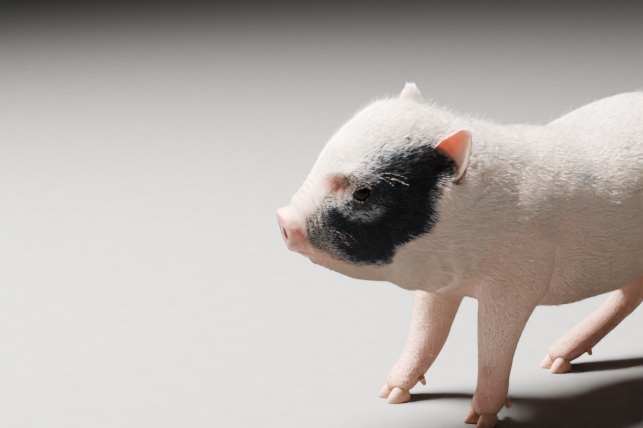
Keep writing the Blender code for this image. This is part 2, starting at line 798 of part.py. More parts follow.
# One main claw: a flat sole, a domed wall and a blunt tip
def claw_mesh(name, sign, grow):
    bm = bmesh.new()
    rings = []
    for share, width, height in CLAW_STATIONS:
        x = CLAW_LENGTH * (1 - share) - CLAW_AHEAD
        half = CLAW_HALF_WIDTH * width + grow
        top = CLAW_HEIGHT * height + grow
        angles = [math.pi * k / (CLAW_SIDES - 1) for k in range(CLAW_SIDES)]
        ring = [Vector((x, half * math.cos(a), top * math.sin(a))) for a in angles]
        ring[0].z = ring[-1].z = -grow
        rings.append(ring)
    rings[0] = [p + Vector((grow, 0, 0)) for p in rings[0]]
    rings[-1] = [p - Vector((grow, 0, 0)) for p in rings[-1]]
    add_loft(bm, rings)
    offset = sign * (CLAW_HALF_WIDTH + 0.5 * CLAW_CLEFT)
    bm.transform(Matrix.Translation((0, offset, 0)) @ Matrix.Rotation(-sign * CLAW_SPREAD, 4, "Z"))
    return bm


# A small blunt cone behind the foot, pointing down and out
def dewclaw_mesh(name, sign, grow):
    rows = leg_rows(name)
    behind = rows[-2][0] + rows[-2][3] - DEWCLAW_SUNK - rows[-1][0]
    bm = bmesh.new()
    bmesh.ops.create_cone(
        bm,
        cap_ends=True,
        segments=DEWCLAW_SIDES,
        radius1=DEWCLAW_RADIUS + grow,
        radius2=DEWCLAW_TIP * DEWCLAW_RADIUS + grow,
        depth=DEWCLAW_LENGTH + 2 * grow,
    )
    tilt = Matrix.Rotation(DEWCLAW_TILT, 4, "Y") @ Matrix.Rotation(DEWCLAW_SPREAD * sign, 4, "X")
    place = Matrix.Translation((behind, sign * DEWCLAW_SIDE, DEWCLAW_RISE))
    bm.transform(place @ tilt)
    return bm


# The claws of one foot. Each is set into the leg, which is hollowed to take it
def make_claws(name, leg):
    made = {}
    placed = foot_frame(name)
    for kind, mesh_of in (("claw", claw_mesh), ("dewclaw", dewclaw_mesh)):
        for where, sign in (("left", -1.0), ("right", 1.0)):
            bm = mesh_of(name, sign, 0.0)
            bm.transform(placed)
            claw = new_object(f"{kind}_{name}_{where}", bm)
            bm = mesh_of(name, sign, NODE_GAP)
            bm.transform(placed)
            bed = new_object("bed", bm)
            boolean(leg, bed, "DIFFERENCE")
            drop(bed)
            made[claw.name] = claw
    return made


def make_eyes():
    made = {}
    for side in ("left", "right"):
        made["eye_" + side] = ball("eye_" + side, EYE_RADIUS, head_matrix() @ eye_frame(side))
    return made


# Moves the pig so that the origin is under the middle of its box, on the floor
def stand_on_origin(nodes):
    points = np.concatenate([np.array([v.co for v in obj.data.vertices]) for obj in nodes.values()])
    low, high = points.min(axis=0), points.max(axis=0)
    shift = Vector(((low[0] + high[0]) / -2, (low[1] + high[1]) / -2, -low[2]))
    for obj in nodes.values():
        obj.data.transform(Matrix.Translation(shift))
    print("moved by", [round(c, 5) for c in shift])


def finish_of(name):
    return next((finish for start, finish in NODE_FINISHES.items() if name.startswith(start)), "skin_white")


def build():
    clear_scene()
    finishes = make_finishes()
    nodes = part_flesh(make_flesh())
    for name in LEGS:
        nodes.update(make_claws(name, nodes[name]))
    head_grown = grown_copy(nodes["head"], NODE_GAP)
    torso_grown = grown_copy(nodes["torso"], NODE_GAP)
    for side in ("left", "right"):
        nodes["ear_" + side] = make_ear(side, head_grown)
    nodes["tail"] = make_tail(torso_grown)
    drop(head_grown, torso_grown)
    open_eyes(nodes["head"])
    cut_nostrils(nodes["head"])
    cut_mouth(nodes["head"])
    nodes.update(make_eyes())
    stand_on_origin(nodes)
    for name, obj in nodes.items():
        obj.data.materials.clear()
        obj.data.materials.append(finishes[finish_of(name)])
        obj.data.shade_smooth()
        obj.data.set_sharp_from_angle(angle=SHARP_ANGLE)


build()
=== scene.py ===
import math

import bmesh
import bpy
import numpy as np
from mathutils import Matrix, Vector, kdtree


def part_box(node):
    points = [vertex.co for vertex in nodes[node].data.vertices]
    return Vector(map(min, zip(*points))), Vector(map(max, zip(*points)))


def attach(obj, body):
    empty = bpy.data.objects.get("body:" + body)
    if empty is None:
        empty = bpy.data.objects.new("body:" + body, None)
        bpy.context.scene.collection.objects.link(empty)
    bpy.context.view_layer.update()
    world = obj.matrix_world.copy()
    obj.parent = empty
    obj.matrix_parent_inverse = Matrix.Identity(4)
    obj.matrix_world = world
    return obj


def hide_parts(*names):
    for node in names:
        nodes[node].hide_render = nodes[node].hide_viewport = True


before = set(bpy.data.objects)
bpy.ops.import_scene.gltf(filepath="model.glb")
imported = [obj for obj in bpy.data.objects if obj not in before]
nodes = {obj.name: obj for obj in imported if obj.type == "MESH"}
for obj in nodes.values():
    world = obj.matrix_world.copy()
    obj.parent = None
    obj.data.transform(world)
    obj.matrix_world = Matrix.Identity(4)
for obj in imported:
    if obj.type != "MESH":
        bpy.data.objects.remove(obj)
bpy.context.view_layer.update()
print("frame loaded:", len(nodes), "nodes")

photoView = {
    "azimuth": -30.0,
    "elevation": 13.5,
    "distance": 1.0,
    "target": (-0.149744, 0.046430, 0.136132),
    "lens": 83.98,
    "sensor": 36.0,
}


def backVector(azimuth, elevation):
    a, e = math.radians(azimuth), math.radians(elevation)
    return Vector((math.sin(a) * math.cos(e), -math.cos(a) * math.cos(e), math.sin(e)))


def placeCamera():
    data = bpy.data.cameras.new("photoCamera")
    data.lens, data.sensor_width, data.sensor_fit = photoView["lens"], photoView["sensor"], "HORIZONTAL"
    data.clip_start, data.clip_end = 0.05, 50.0
    camera = bpy.data.objects.new("photoCamera", data)
    bpy.context.scene.collection.objects.link(camera)
    back = backVector(photoView["azimuth"], photoView["elevation"])
    camera.location = Vector(photoView["target"]) + back * photoView["distance"]
    camera.rotation_euler = back.to_track_quat("Z", "Y").to_euler()
    bpy.context.scene.camera = camera


placeCamera()
print("camera placed")

# where the head, the ears and the eyes sit, in metres and degrees; rows are ahead, out, up
build = {
    "headAt": (-0.08073, 0.00096, 0.165),
    "headTurn": -16.0,
    "headTip": -15.0,
    "eyeForward": 22.0,
    "eyeUp": 4.0,
    "eyeSlant": 12.0,
    "eyeRadius": 0.0080,
    "openWidth": 0.0066,
    "openHeight": 0.0051,
    "ears": {
        "left": ((0.0085, 0.037, 0.017), (-0.41, 0.66, 0.55), (0.80, 0.56, 0.06)),
        "right": ((0.0112, 0.034, 0.024), (-0.32, 0.06, 0.95), (0.40, 0.91, 0.10)),
    },
    "earSize": {"left": (0.0372, 0.0150, 0.0027), "right": (0.0330, 0.0155, 0.0043)},
    "earSunk": 0.009,
    "canal": (0.0035, 0.0, -0.001),
    "discRise": -0.0028,
    "nostril": (0.0075, 0.0006, 0.0032, 0.0047),
    "mouth": ((0.110, -0.0165), (0.100, -0.0215), (0.090, -0.0262), (0.079, -0.0275), (0.071, -0.025)),
}
sides = {"left": -1, "right": 1}
legNames = ["foreleg_left", "foreleg_right", "hindleg_left", "hindleg_right"]
fleshNames = ["head", "neck", "torso", "tail", "ear_left", "ear_right"] + legNames
earParts = ((4, "left"), (5, "right"))


def headFrame():
    turn = Matrix.Rotation(math.radians(build["headTurn"]), 4, "Z")
    tip = Matrix.Rotation(math.radians(build["headTip"]), 4, "Y")
    return Matrix.Translation(build["headAt"]) @ turn @ tip


def earFrame(side):
    sign = sides[side]
    root, along, opening = (Vector((-ahead, sign * out, up)) for ahead, out, up in build["ears"][side])
    along.normalize()
    opening = (opening - opening.dot(along) * along).normalized()
    turn = Matrix((opening, along.cross(opening), along)).transposed().to_4x4()
    return headFrame() @ Matrix.Translation(root) @ turn


# places on an ear: along it and across it as shares, with its upper edge at 1, and the way it opens
def earPlaces(side, points):
    turn = np.array(earFrame(side).to_3x3())
    length, half, lean = build["earSize"][side]
    local = within(earFrame(side), points)
    along = np.clip((local[:, 2] + build["earSunk"]) / (length + build["earSunk"]), 0, 1)
    across = local[:, 1] + lean * along**2
    return local[:, 2] / length, across * np.sign(turn[2, 1]) / half, local, turn


def nostrilRing(side, rise, sign):
    out, drop, wide, high = build["nostril"]
    return np.hypot((side - sign * out) / wide, (rise - build["discRise"] + drop) / high)


def eyeFrame(side):
    sign = sides[side]
    low, high = (Vector(corner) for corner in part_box("eye_" + side))
    turn = (
        headFrame().to_3x3()
        @ Matrix.Rotation(sign * math.radians(90 + build["eyeForward"]), 3, "Z")
        @ Matrix.Rotation(-math.radians(build["eyeUp"]), 3, "Y")
        @ Matrix.Rotation(-sign * math.radians(build["eyeSlant"]), 3, "X")
    )
    return Matrix.Translation((low + high) / 2) @ turn.to_4x4()


def within(matrix, points):
    inverse = np.array(matrix.inverted())
    return points @ inverse[:3, :3].T + inverse[:3, 3]


def headPlaces(points):
    local = within(headFrame(), points)
    return -local[:, 0], local[:, 1], local[:, 2]


def step(values, low, high):
    t = np.clip((values - low) / (high - low), 0.0, 1.0)
    return t * t * (3 - 2 * t)


def hump(values, centre, width):
    return np.exp(-(((values - centre) / width) ** 2))


def near(points, centre, width):
    return np.exp(-(((points - np.array(centre)) ** 2).sum(1)) / width**2)


# round places on each side of the head: ahead, up, their two widths and how flat their top is
spots = {
    "hollow": (0.0765, 0.0195, 0.0075, 0.0070, 1),
    "overHollow": (0.0740, 0.0285, 0.0070, 0.0022, 1),
    "shaded": (0.0765, 0.0195, 0.0098, 0.0085, 1.6),
    "thinned": (0.0790, 0.0205, 0.0115, 0.0082, 2),
    "underEar": (0.0080, 0.0100, 0.0064, 0.0064, 1),
    "tuft": (0.0820, 0.0100, 0.0070, 0.0045, 1),
}


def spotOf(name, ahead, rise):
    a, up, wide, high, power = spots[name]
    return np.exp(-((((ahead - a) / wide) ** 2 + ((rise - up) / high) ** 2) ** power))


# the points that lie on head, neck, torso, tail, ears and legs
def partsOf(owners):
    return (*(owners == k for k in range(4)), (owners == 4) | (owners == 5), owners >= 6)


# smooth rolling noise from waves that run in seeded directions, between about -1 and 1
def wobble(points, size, seed, waves=14):
    random = np.random.default_rng(seed)
    ways = random.normal(size=(waves, 3))
    ways *= (2 * math.pi / size * random.uniform(0.6, 1.5, waves) / np.linalg.norm(ways, axis=1))[:, None]
    phase = random.uniform(0, 2 * math.pi, waves)
    return np.sin(points @ ways.T + phase).sum(1) / math.sqrt(waves)


def toRoute(ahead, rise, route):
    best = np.full(len(ahead), 9.0)
    for (a0, r0), (a1, r1) in zip(route, route[1:]):
        da, dr = a1 - a0, r1 - r0
        t = np.clip(((ahead - a0) * da + (rise - r0) * dr) / (da * da + dr * dr), 0, 1)
        best = np.minimum(best, np.hypot(ahead - a0 - t * da, rise - r0 - t * dr))
    return best


def insideOutline(ahead, rise, outline):
    loop = list(outline) + [outline[0]]
    inside = np.zeros(len(ahead), bool)
    for (a0, r0), (a1, r1) in zip(loop, loop[1:]):
        crosses = (r0 > rise) != (r1 > rise)
        at = a0 + (rise - r0) * (a1 - a0) / (r1 - r0 if r1 != r0 else 1e-9)
        inside ^= crosses & (ahead < at)
    return inside, toRoute(ahead, rise, loop)


def arrayOf(collection, field, width, kind=np.float32):
    values = np.empty(len(collection) * width, kind)
    collection.foreach_get(field, values)
    return values.reshape(-1, width) if width > 1 else values


# the points of a mesh, their normals and its edges
def surface(mesh):
    points, normals = (arrayOf(mesh.vertices, field, 3).astype(float) for field in ("co", "normal"))
    return points, normals, arrayOf(mesh.edges, "vertices", 2, np.int32)


def moved(mesh, points):
    mesh.vertices.foreach_set("co", points.astype(np.float32).ravel())
    mesh.update()


def meshOf(made, name):
    mesh = bpy.data.meshes.new(name)
    made.to_mesh(mesh)
    made.free()
    return mesh


def linked(name, mesh):
    made = bpy.data.objects.new(name, mesh)
    bpy.context.scene.collection.objects.link(made)
    return made


def baked(made):
    graph = bpy.context.evaluated_depsgraph_get()
    graph.update()
    result = bpy.data.meshes.new_from_object(made.evaluated_get(graph))
    made.modifiers.clear()
    return result


def dropped(made):
    data = made.data
    bpy.data.objects.remove(made)
    if data.users == 0:
        bpy.data.meshes.remove(data)


# the mesh as one closed surface of small squares
def fused(mesh, voxel):
    block = linked("block", mesh)
    join = block.modifiers.new("join", "REMESH")
    join.mode, join.voxel_size = "VOXEL", voxel
    result = baked(block)
    dropped(block)
    return result


# the joined, smoothed flesh
flesh = {
    "grow": 0.00035,
    "voxel": 0.00095,
    "rounds": 56,
    "mostTriangles": 192000,
    "coatDepth": 0.0009,
}


def mergedMesh(name, grow=0.0):
    piece = bmesh.new()
    piece.from_mesh(nodes[name].data)
    bmesh.ops.remove_doubles(piece, verts=piece.verts, dist=1e-6)
    piece.normal_update()
    for vertex, normal in [(v, v.normal.copy()) for v in piece.verts]:
        vertex.co += normal * grow
    return meshOf(piece, name + "Copy")


def fleshBlock():
    whole = bmesh.new()
    for name in fleshNames:
        mesh = mergedMesh(name, flesh["grow"])
        whole.from_mesh(mesh)
        bpy.data.meshes.remove(mesh)
    return fused(meshOf(whole, "pigSkin"), flesh["voxel"])


def partFinder():
    points, owners = [], []
    for index, name in enumerate(fleshNames):
        mesh = nodes[name].data
        for block in (arrayOf(mesh.polygons, "center", 3), arrayOf(mesh.vertices, "co", 3)):
            points.append(block)
            owners.append(np.full(len(block), index))
    points, owners = np.concatenate(points), np.concatenate(owners)
    tree = kdtree.KDTree(len(points))
    for i, point in enumerate(points):
        tree.insert(point, i)
    tree.balance()
    return lambda places: np.array([owners[tree.find(place)[1]] for place in places])


def relax(points, edges, amount, rounds):
    a, b = edges.T
    size = len(points)
    count = np.bincount(edges.ravel(), minlength=size)[:, None]
    for _ in range(rounds):
        sums = [np.bincount(a, row[b], size) + np.bincount(b, row[a], size) for row in points.T]
        points = points + amount[:, None] * (np.stack(sums, 1) / count - points)
    return points


def eyeRings(points, side):
    local = within(eyeFrame(side), points)
    ring = np.hypot(local[:, 1] / build["openWidth"], local[:, 2] / build["openHeight"])
    inFront = step(local[:, 0], 0.0015, 0.0045) * step(-np.linalg.norm(local, axis=1), -0.024, -0.018)
    return local, ring, inFront


def smoothing(points, owners):
    ahead, side, _ = headPlaces(points)
    isHead, _, _, isTail, _, isLeg = partsOf(owners)
    amount = np.full(len(points), 0.55)
    amount[isLeg] = 0.60
    amount[isTail] = 0.10
    amount = np.where(isHead, 0.20 - 0.12 * step(ahead, 0.06, 0.10), amount)
    for index, which in earParts:
        t = earPlaces(which, points)[0]
        amount = np.where(owners == index, 0.05 + 0.07 * step(t, 0.70, 0.95), amount)
    for which in sides:
        _, ring, inFront = eyeRings(points, which)
        amount *= 1 - 0.85 * inFront * step(-ring, -2.6, -1.6)
    amount *= 0.25 + 0.75 * step(points[:, 2], 0.009, 0.018)
    return amount * (1 - 0.9 * step(ahead, 0.103, 0.108) * (np.abs(side) < 0.03))


folds = {
    "snoutWrinkle": 0.00050,
    "snoutPitch": 0.0034,
    "mouthDepth": 0.0010,
    "lip": 0.00045,
    "canal": 0.0030,
    "lidCrease": 0.0007,
    "discDome": 7.0,
    "upperLid": 0.0017,
    "lowerLid": 0.0008,
    "lidCorner": 0.12,
    "teat": 0.0014,
    "muscle": 0.00045,
    "hollow": 0.0026,
    "overHollow": 0.0009,
    "throat": 0.0006,
    "elbow": 0.0011,
    "legPitch": 0.0042,
}


def sculpted(points, normals, owners):
    ahead, side, rise = headPlaces(points)
    isHead, _, isTorso, _, isEar, isLeg = partsOf(owners)
    depth = np.full(len(points), flesh["coatDepth"])
    depth = np.where(isHead, flesh["coatDepth"] * (1 - 0.75 * step(ahead, 0.055, 0.10)), depth)
    depth[isEar] = 0.00025
    depth = np.where(isLeg, depth * (0.35 + 0.65 * step(points[:, 2], 0.02, 0.06)), depth)
    move = -(flesh["grow"] + depth)

    # rolling muscle and fat
    quiet = 1.0 - isEar
    move += quiet * folds["muscle"] * wobble(points, 0.045, 3) * (1 - 0.7 * isHead)
    move += quiet * 0.00012 * wobble(points, 0.012, 5)

    # the creases round the eyes, and the ears' canals
    for which in sides:
        local, ring, inFront = eyeRings(points, which)
        upper = local[:, 2] > 0
        move += inFront * (flesh["coatDepth"] * 0.5 * hump(ring, 1.2, 0.8))
        move += inFront * 0.00030 * hump(ring, 1.22, 0.20)
        crease = np.where(upper, hump(ring, 1.95, 0.20), 0.55 * hump(ring, 1.75, 0.13))
        crease = crease + 0.6 * np.where(upper, hump(ring, 2.7, 0.2), hump(ring, 2.25, 0.14))
        crease = crease + 0.35 * np.where(upper, 0, hump(ring, 2.75, 0.16))
        move -= inFront * folds["lidCrease"] * crease
        inEar = earPlaces(which, points)[2]
        move -= isHead * folds["canal"] * near(inEar, build["canal"], 0.0062)

    # the hollow in front of the eye, the fold over it, the mouth and its lips
    onSide = isHead * (np.abs(side) > 0.006)
    move -= onSide * folds["hollow"] * spotOf("hollow", ahead, rise)
    move += onSide * folds["overHollow"] * spotOf("overHollow", ahead, rise)
    mouth = toRoute(ahead, rise, build["mouth"])
    fade = isHead * (np.abs(side) > 0.003) * (0.25 + 0.75 * step(ahead, 0.073, 0.092))
    move -= fade * folds["mouthDepth"] * hump(mouth, 0, 0.00060)
    move += fade * folds["lip"] * hump(mouth, 0.0022, 0.0012)

    # wrinkled skin and a groove just behind the disc, strongest on top
    band = isHead * step(ahead, 0.084, 0.093) * step(-ahead, -0.1045, -0.1020)
    band = band * (0.35 + 0.65 * step(rise, -0.012, 0.006))
    overTop = step(rise, 0.002, 0.010)
    move -= isHead * hump(ahead, 0.1058, 0.0018) * (0.0013 + 0.0003 * overTop)
    move += isHead * hump(ahead, 0.1012, 0.0026) * 0.0007 * overTop
    wave = np.sin(2 * math.pi * (ahead + 0.0009 * wobble(points, 0.016, 11)) / folds["snoutPitch"])
    move += band * folds["snoutWrinkle"] * wave

    # the disc's raised rim, its shallow face and the groove between the nostrils
    disc = np.hypot(side / 0.0165, (rise - build["discRise"]) / 0.0145)
    face = isHead * step(ahead, 0.1113, 0.1138)
    move += face * (0.00055 * hump(disc, 0.90, 0.12) - 0.00050 * hump(disc, 0, 0.62))
    move -= face * 0.0005 * hump(side, 0, 0.0011) * step(-rise, 0.002, 0.007)
    for sign in (-1, 1):
        move += face * 0.00040 * hump(nostrilRing(side, rise, sign), 1.38, 0.26)

    # folds of the throat and of the elbow, and fine wrinkles on the forelegs
    x, y, z = points.T
    throat = step(-z, -0.145, -0.11) * hump(x, -0.094, 0.02) * (1 - isLeg)
    bend = wobble(points, 0.03, 8)
    move -= throat * folds["throat"] * np.cos(2 * math.pi * (x + 0.25 * z) / 0.0125 + bend)
    elbow = hump(x + 0.10 * (z - 0.10), -0.028, 0.0030) * step(z, 0.082, 0.096) * step(-z, -0.128, -0.116)
    move -= elbow * folds["elbow"] * (np.abs(y) > 0.03)
    wrinkle = np.cos(2 * math.pi * (z + 0.0006 * wobble(points, 0.02, 9)) / folds["legPitch"])
    wrinkle *= 0.00005 * hump(z, 0.043, 0.011) + 0.00006 * hump(z, 0.018, 0.006)
    move += wrinkle * np.isin(owners, [6, 7])

    # two rows of small teats
    under = step(-normals[:, 2], 0.5, 0.8) * isTorso
    for k in range(5):
        for sign in (-1, 1):
            centre = (0.030 * k - 0.028, 0.001 + sign * (0.016 + 0.001 * k))
            move += under * folds["teat"] * near(points[:, :2], centre, 0.0020)

    # the disc stands out between the nostrils, so that they look outward
    aheadWay = -np.array(headFrame().to_3x3())[:, 0]
    domed = isHead * step(ahead, 0.1085, 0.1125) * (0.0008 - folds["discDome"] * side**2)
    return lidded(points + normals * move[:, None] + domed[:, None] * aheadWay)


# draws the lids over the eyeball without touching it
def lidded(points):
    for which in sides:
        local, ring, inFront = eyeRings(points, which)
        pull = inFront * step(-ring, -2.0, -1.05)
        local[:, 2] += pull * np.where(local[:, 2] > 0, -folds["upperLid"], folds["lowerLid"])
        local[:, 1] *= 1 - folds["lidCorner"] * pull
        reach = np.linalg.norm(local, axis=1)
        least = build["eyeRadius"] + 0.0002
        local *= np.where((inFront > 0) & (reach < least), least / np.maximum(reach, 1e-6), 1.0)[:, None]
        frameNow = np.array(eyeFrame(which))
        points = np.where((inFront > 0)[:, None], local @ frameNow[:3, :3].T + frameNow[:3, 3], points)
    return points


def settleSkin():
    mesh = fleshBlock()
    findPart = partFinder()
    points, _, edges = surface(mesh)
    owners = findPart(points)
    print("flesh joined:", len(points), "points")
    points = relax(points, edges, smoothing(points, owners), flesh["rounds"])
    moved(mesh, points)
    normals = relax(surface(mesh)[1], edges, np.full(len(points), 0.5), 3)
    normals /= np.linalg.norm(normals, axis=1, keepdims=True)
    points = sculpted(points, normals, owners)
    moved(mesh, points)
    skin = linked("pig_skin", mesh)
    # the face, the ears and the feet keep more triangles
    fine = np.isin(owners, [0, 4, 5]) * step(headPlaces(points)[0], -0.02, 0.03) + (points[:, 2] < 0.03) * 0.6
    weights = np.round(1 - 0.97 * fine.clip(0, 1), 1)
    group = skin.vertex_groups.new(name="thin")
    for value in np.unique(weights):
        group.add(np.nonzero(weights == value)[0].tolist(), float(value), "REPLACE")
    triangles = sum(len(p.vertices) - 2 for p in mesh.polygons)
    thin = skin.modifiers.new("thin", "DECIMATE")
    thin.ratio, thin.vertex_group = min(1.0, flesh["mostTriangles"] / triangles), "thin"
    thin.use_collapse_triangulate = True
    final = baked(skin)
    skin.data = final
    skin.vertex_groups.clear()
    bpy.data.meshes.remove(mesh)
    final.shade_smooth()
    print("skin settled:", len(final.polygons), "triangles")
    return skin, findPart


skin, findPart = settleSkin()

# what the skin and the coat share: the way the hair lies, its length and number, and the markings
patchOutline = (
    (0.0119, 0.0310), (0.0167, 0.0340), (0.0257, 0.0375), (0.0349, 0.0392), (0.0428, 0.0388),
    (0.0510, 0.0352), (0.0579, 0.0295), (0.0671, 0.0262), (0.0716, 0.0230), (0.0770, 0.0186),
    (0.0850, 0.0155), (0.0950, 0.0085), (0.1030, 0.0025), (0.1048, -0.0080), (0.1020, -0.0145),
    (0.0965, -0.0180), (0.0890, -0.0258), (0.0767, -0.0335), (0.0655, -0.0362), (0.0588, -0.0350),
    (0.0530, -0.0268), (0.0436, -0.0228), (0.0310, -0.0205), (0.0262, -0.0110), (0.0222, -0.0015),
    (0.0180, 0.0060), (0.0100, 0.0085), (0.0030, 0.0125), (0.0025, 0.0175), (0.0050, 0.0250),
)
coat = {
    "perArea": 1.55e6,
    "length": 1.0,
    "width": 0.00021,
    "height": 0.00011,
    "riseAngle": 8.0,
    "spread": 0.11,
    "mostTufts": 48500,
    "patchSize": 0.003,
    "onHead": ((-0.02, 0.02, 0.05, 0.07, 0.085, 0.1), (0.0072, 0.0060, 0.0048, 0.0036, 0.0024, 0.0013)),
    "onLegs": ((0.0, 0.012, 0.03, 0.06, 0.11), (0.0011, 0.0017, 0.0023, 0.0032, 0.0052)),
    "flankSpot": ((0.0009, -0.0442, 0.1632), 0.0105),
    "saddleShadow": ((0.030, -0.010, 0.193), 0.030),
    "mud": ((-0.0755, -0.0400, 0.0380), 0.0048),
}


def layOfCoat(points, normals, edges, owners):
    ahead, side, rise = headPlaces(points)
    x, _, z = points.T
    size = len(points)
    flank = step(np.abs(normals[:, 1]), 0.2, 0.8)
    shoulder = hump(x, -0.045, 0.05)
    rump = step(x, 0.09, 0.17)
    lie = np.stack([np.ones(size), np.zeros(size), -flank * (0.12 + 0.30 * shoulder) - 0.9 * rump], 1)
    isHead, isNeck, _, isTail, _, _ = partsOf(owners)
    lie[isNeck] = np.stack([np.ones(size), np.zeros(size), -0.28 * flank], 1)[isNeck]
    climb = np.clip((rise - 0.022) / 0.026, -0.62, 0.12) * step(-ahead, -0.10, -0.07)
    rotation = np.array(headFrame().to_3x3())
    onHead = np.stack([np.ones(size), 0.10 * np.sign(side), climb], 1) @ rotation.T
    for which in sides:
        _, ring, inFront = eyeRings(points, which)
        fanned = (inFront * hump(ring, 1.9, 0.75))[:, None]
        onHead = onHead * (1 - fanned) + fanned * (rotation @ np.array((1.0, 0.1 * sides[which], -0.95)))
    lie[isHead] = onHead[isHead]
    for index, which in earParts:
        lie[owners == index] = np.array(earFrame(which).to_3x3())[:, 2]
    lie[isTail] = (0.25, 0, -1)
    for name in legNames:
        inLeg = owners == fleshNames.index(name)
        slope = step(-z, -0.11, -0.07)
        lean = 0.75 if name.startswith("fore") else 0.5
        down = np.stack([lean * (1 - slope) + 0.12, np.zeros(size), -0.25 - 0.75 * slope], 1)
        lie[inLeg] = down[inLeg]
    lie = relax(lie, edges, np.full(size, 0.6), 34)
    swirl = np.stack([wobble(points, 0.03, s) for s in (21, 22, 23)], 1)
    lie += 0.10 * swirl * np.linalg.norm(lie, axis=1, keepdims=True)
    lie -= normals * (lie * normals).sum(1, keepdims=True)
    return lie / np.maximum(np.linalg.norm(lie, axis=1, keepdims=True), 1e-6)


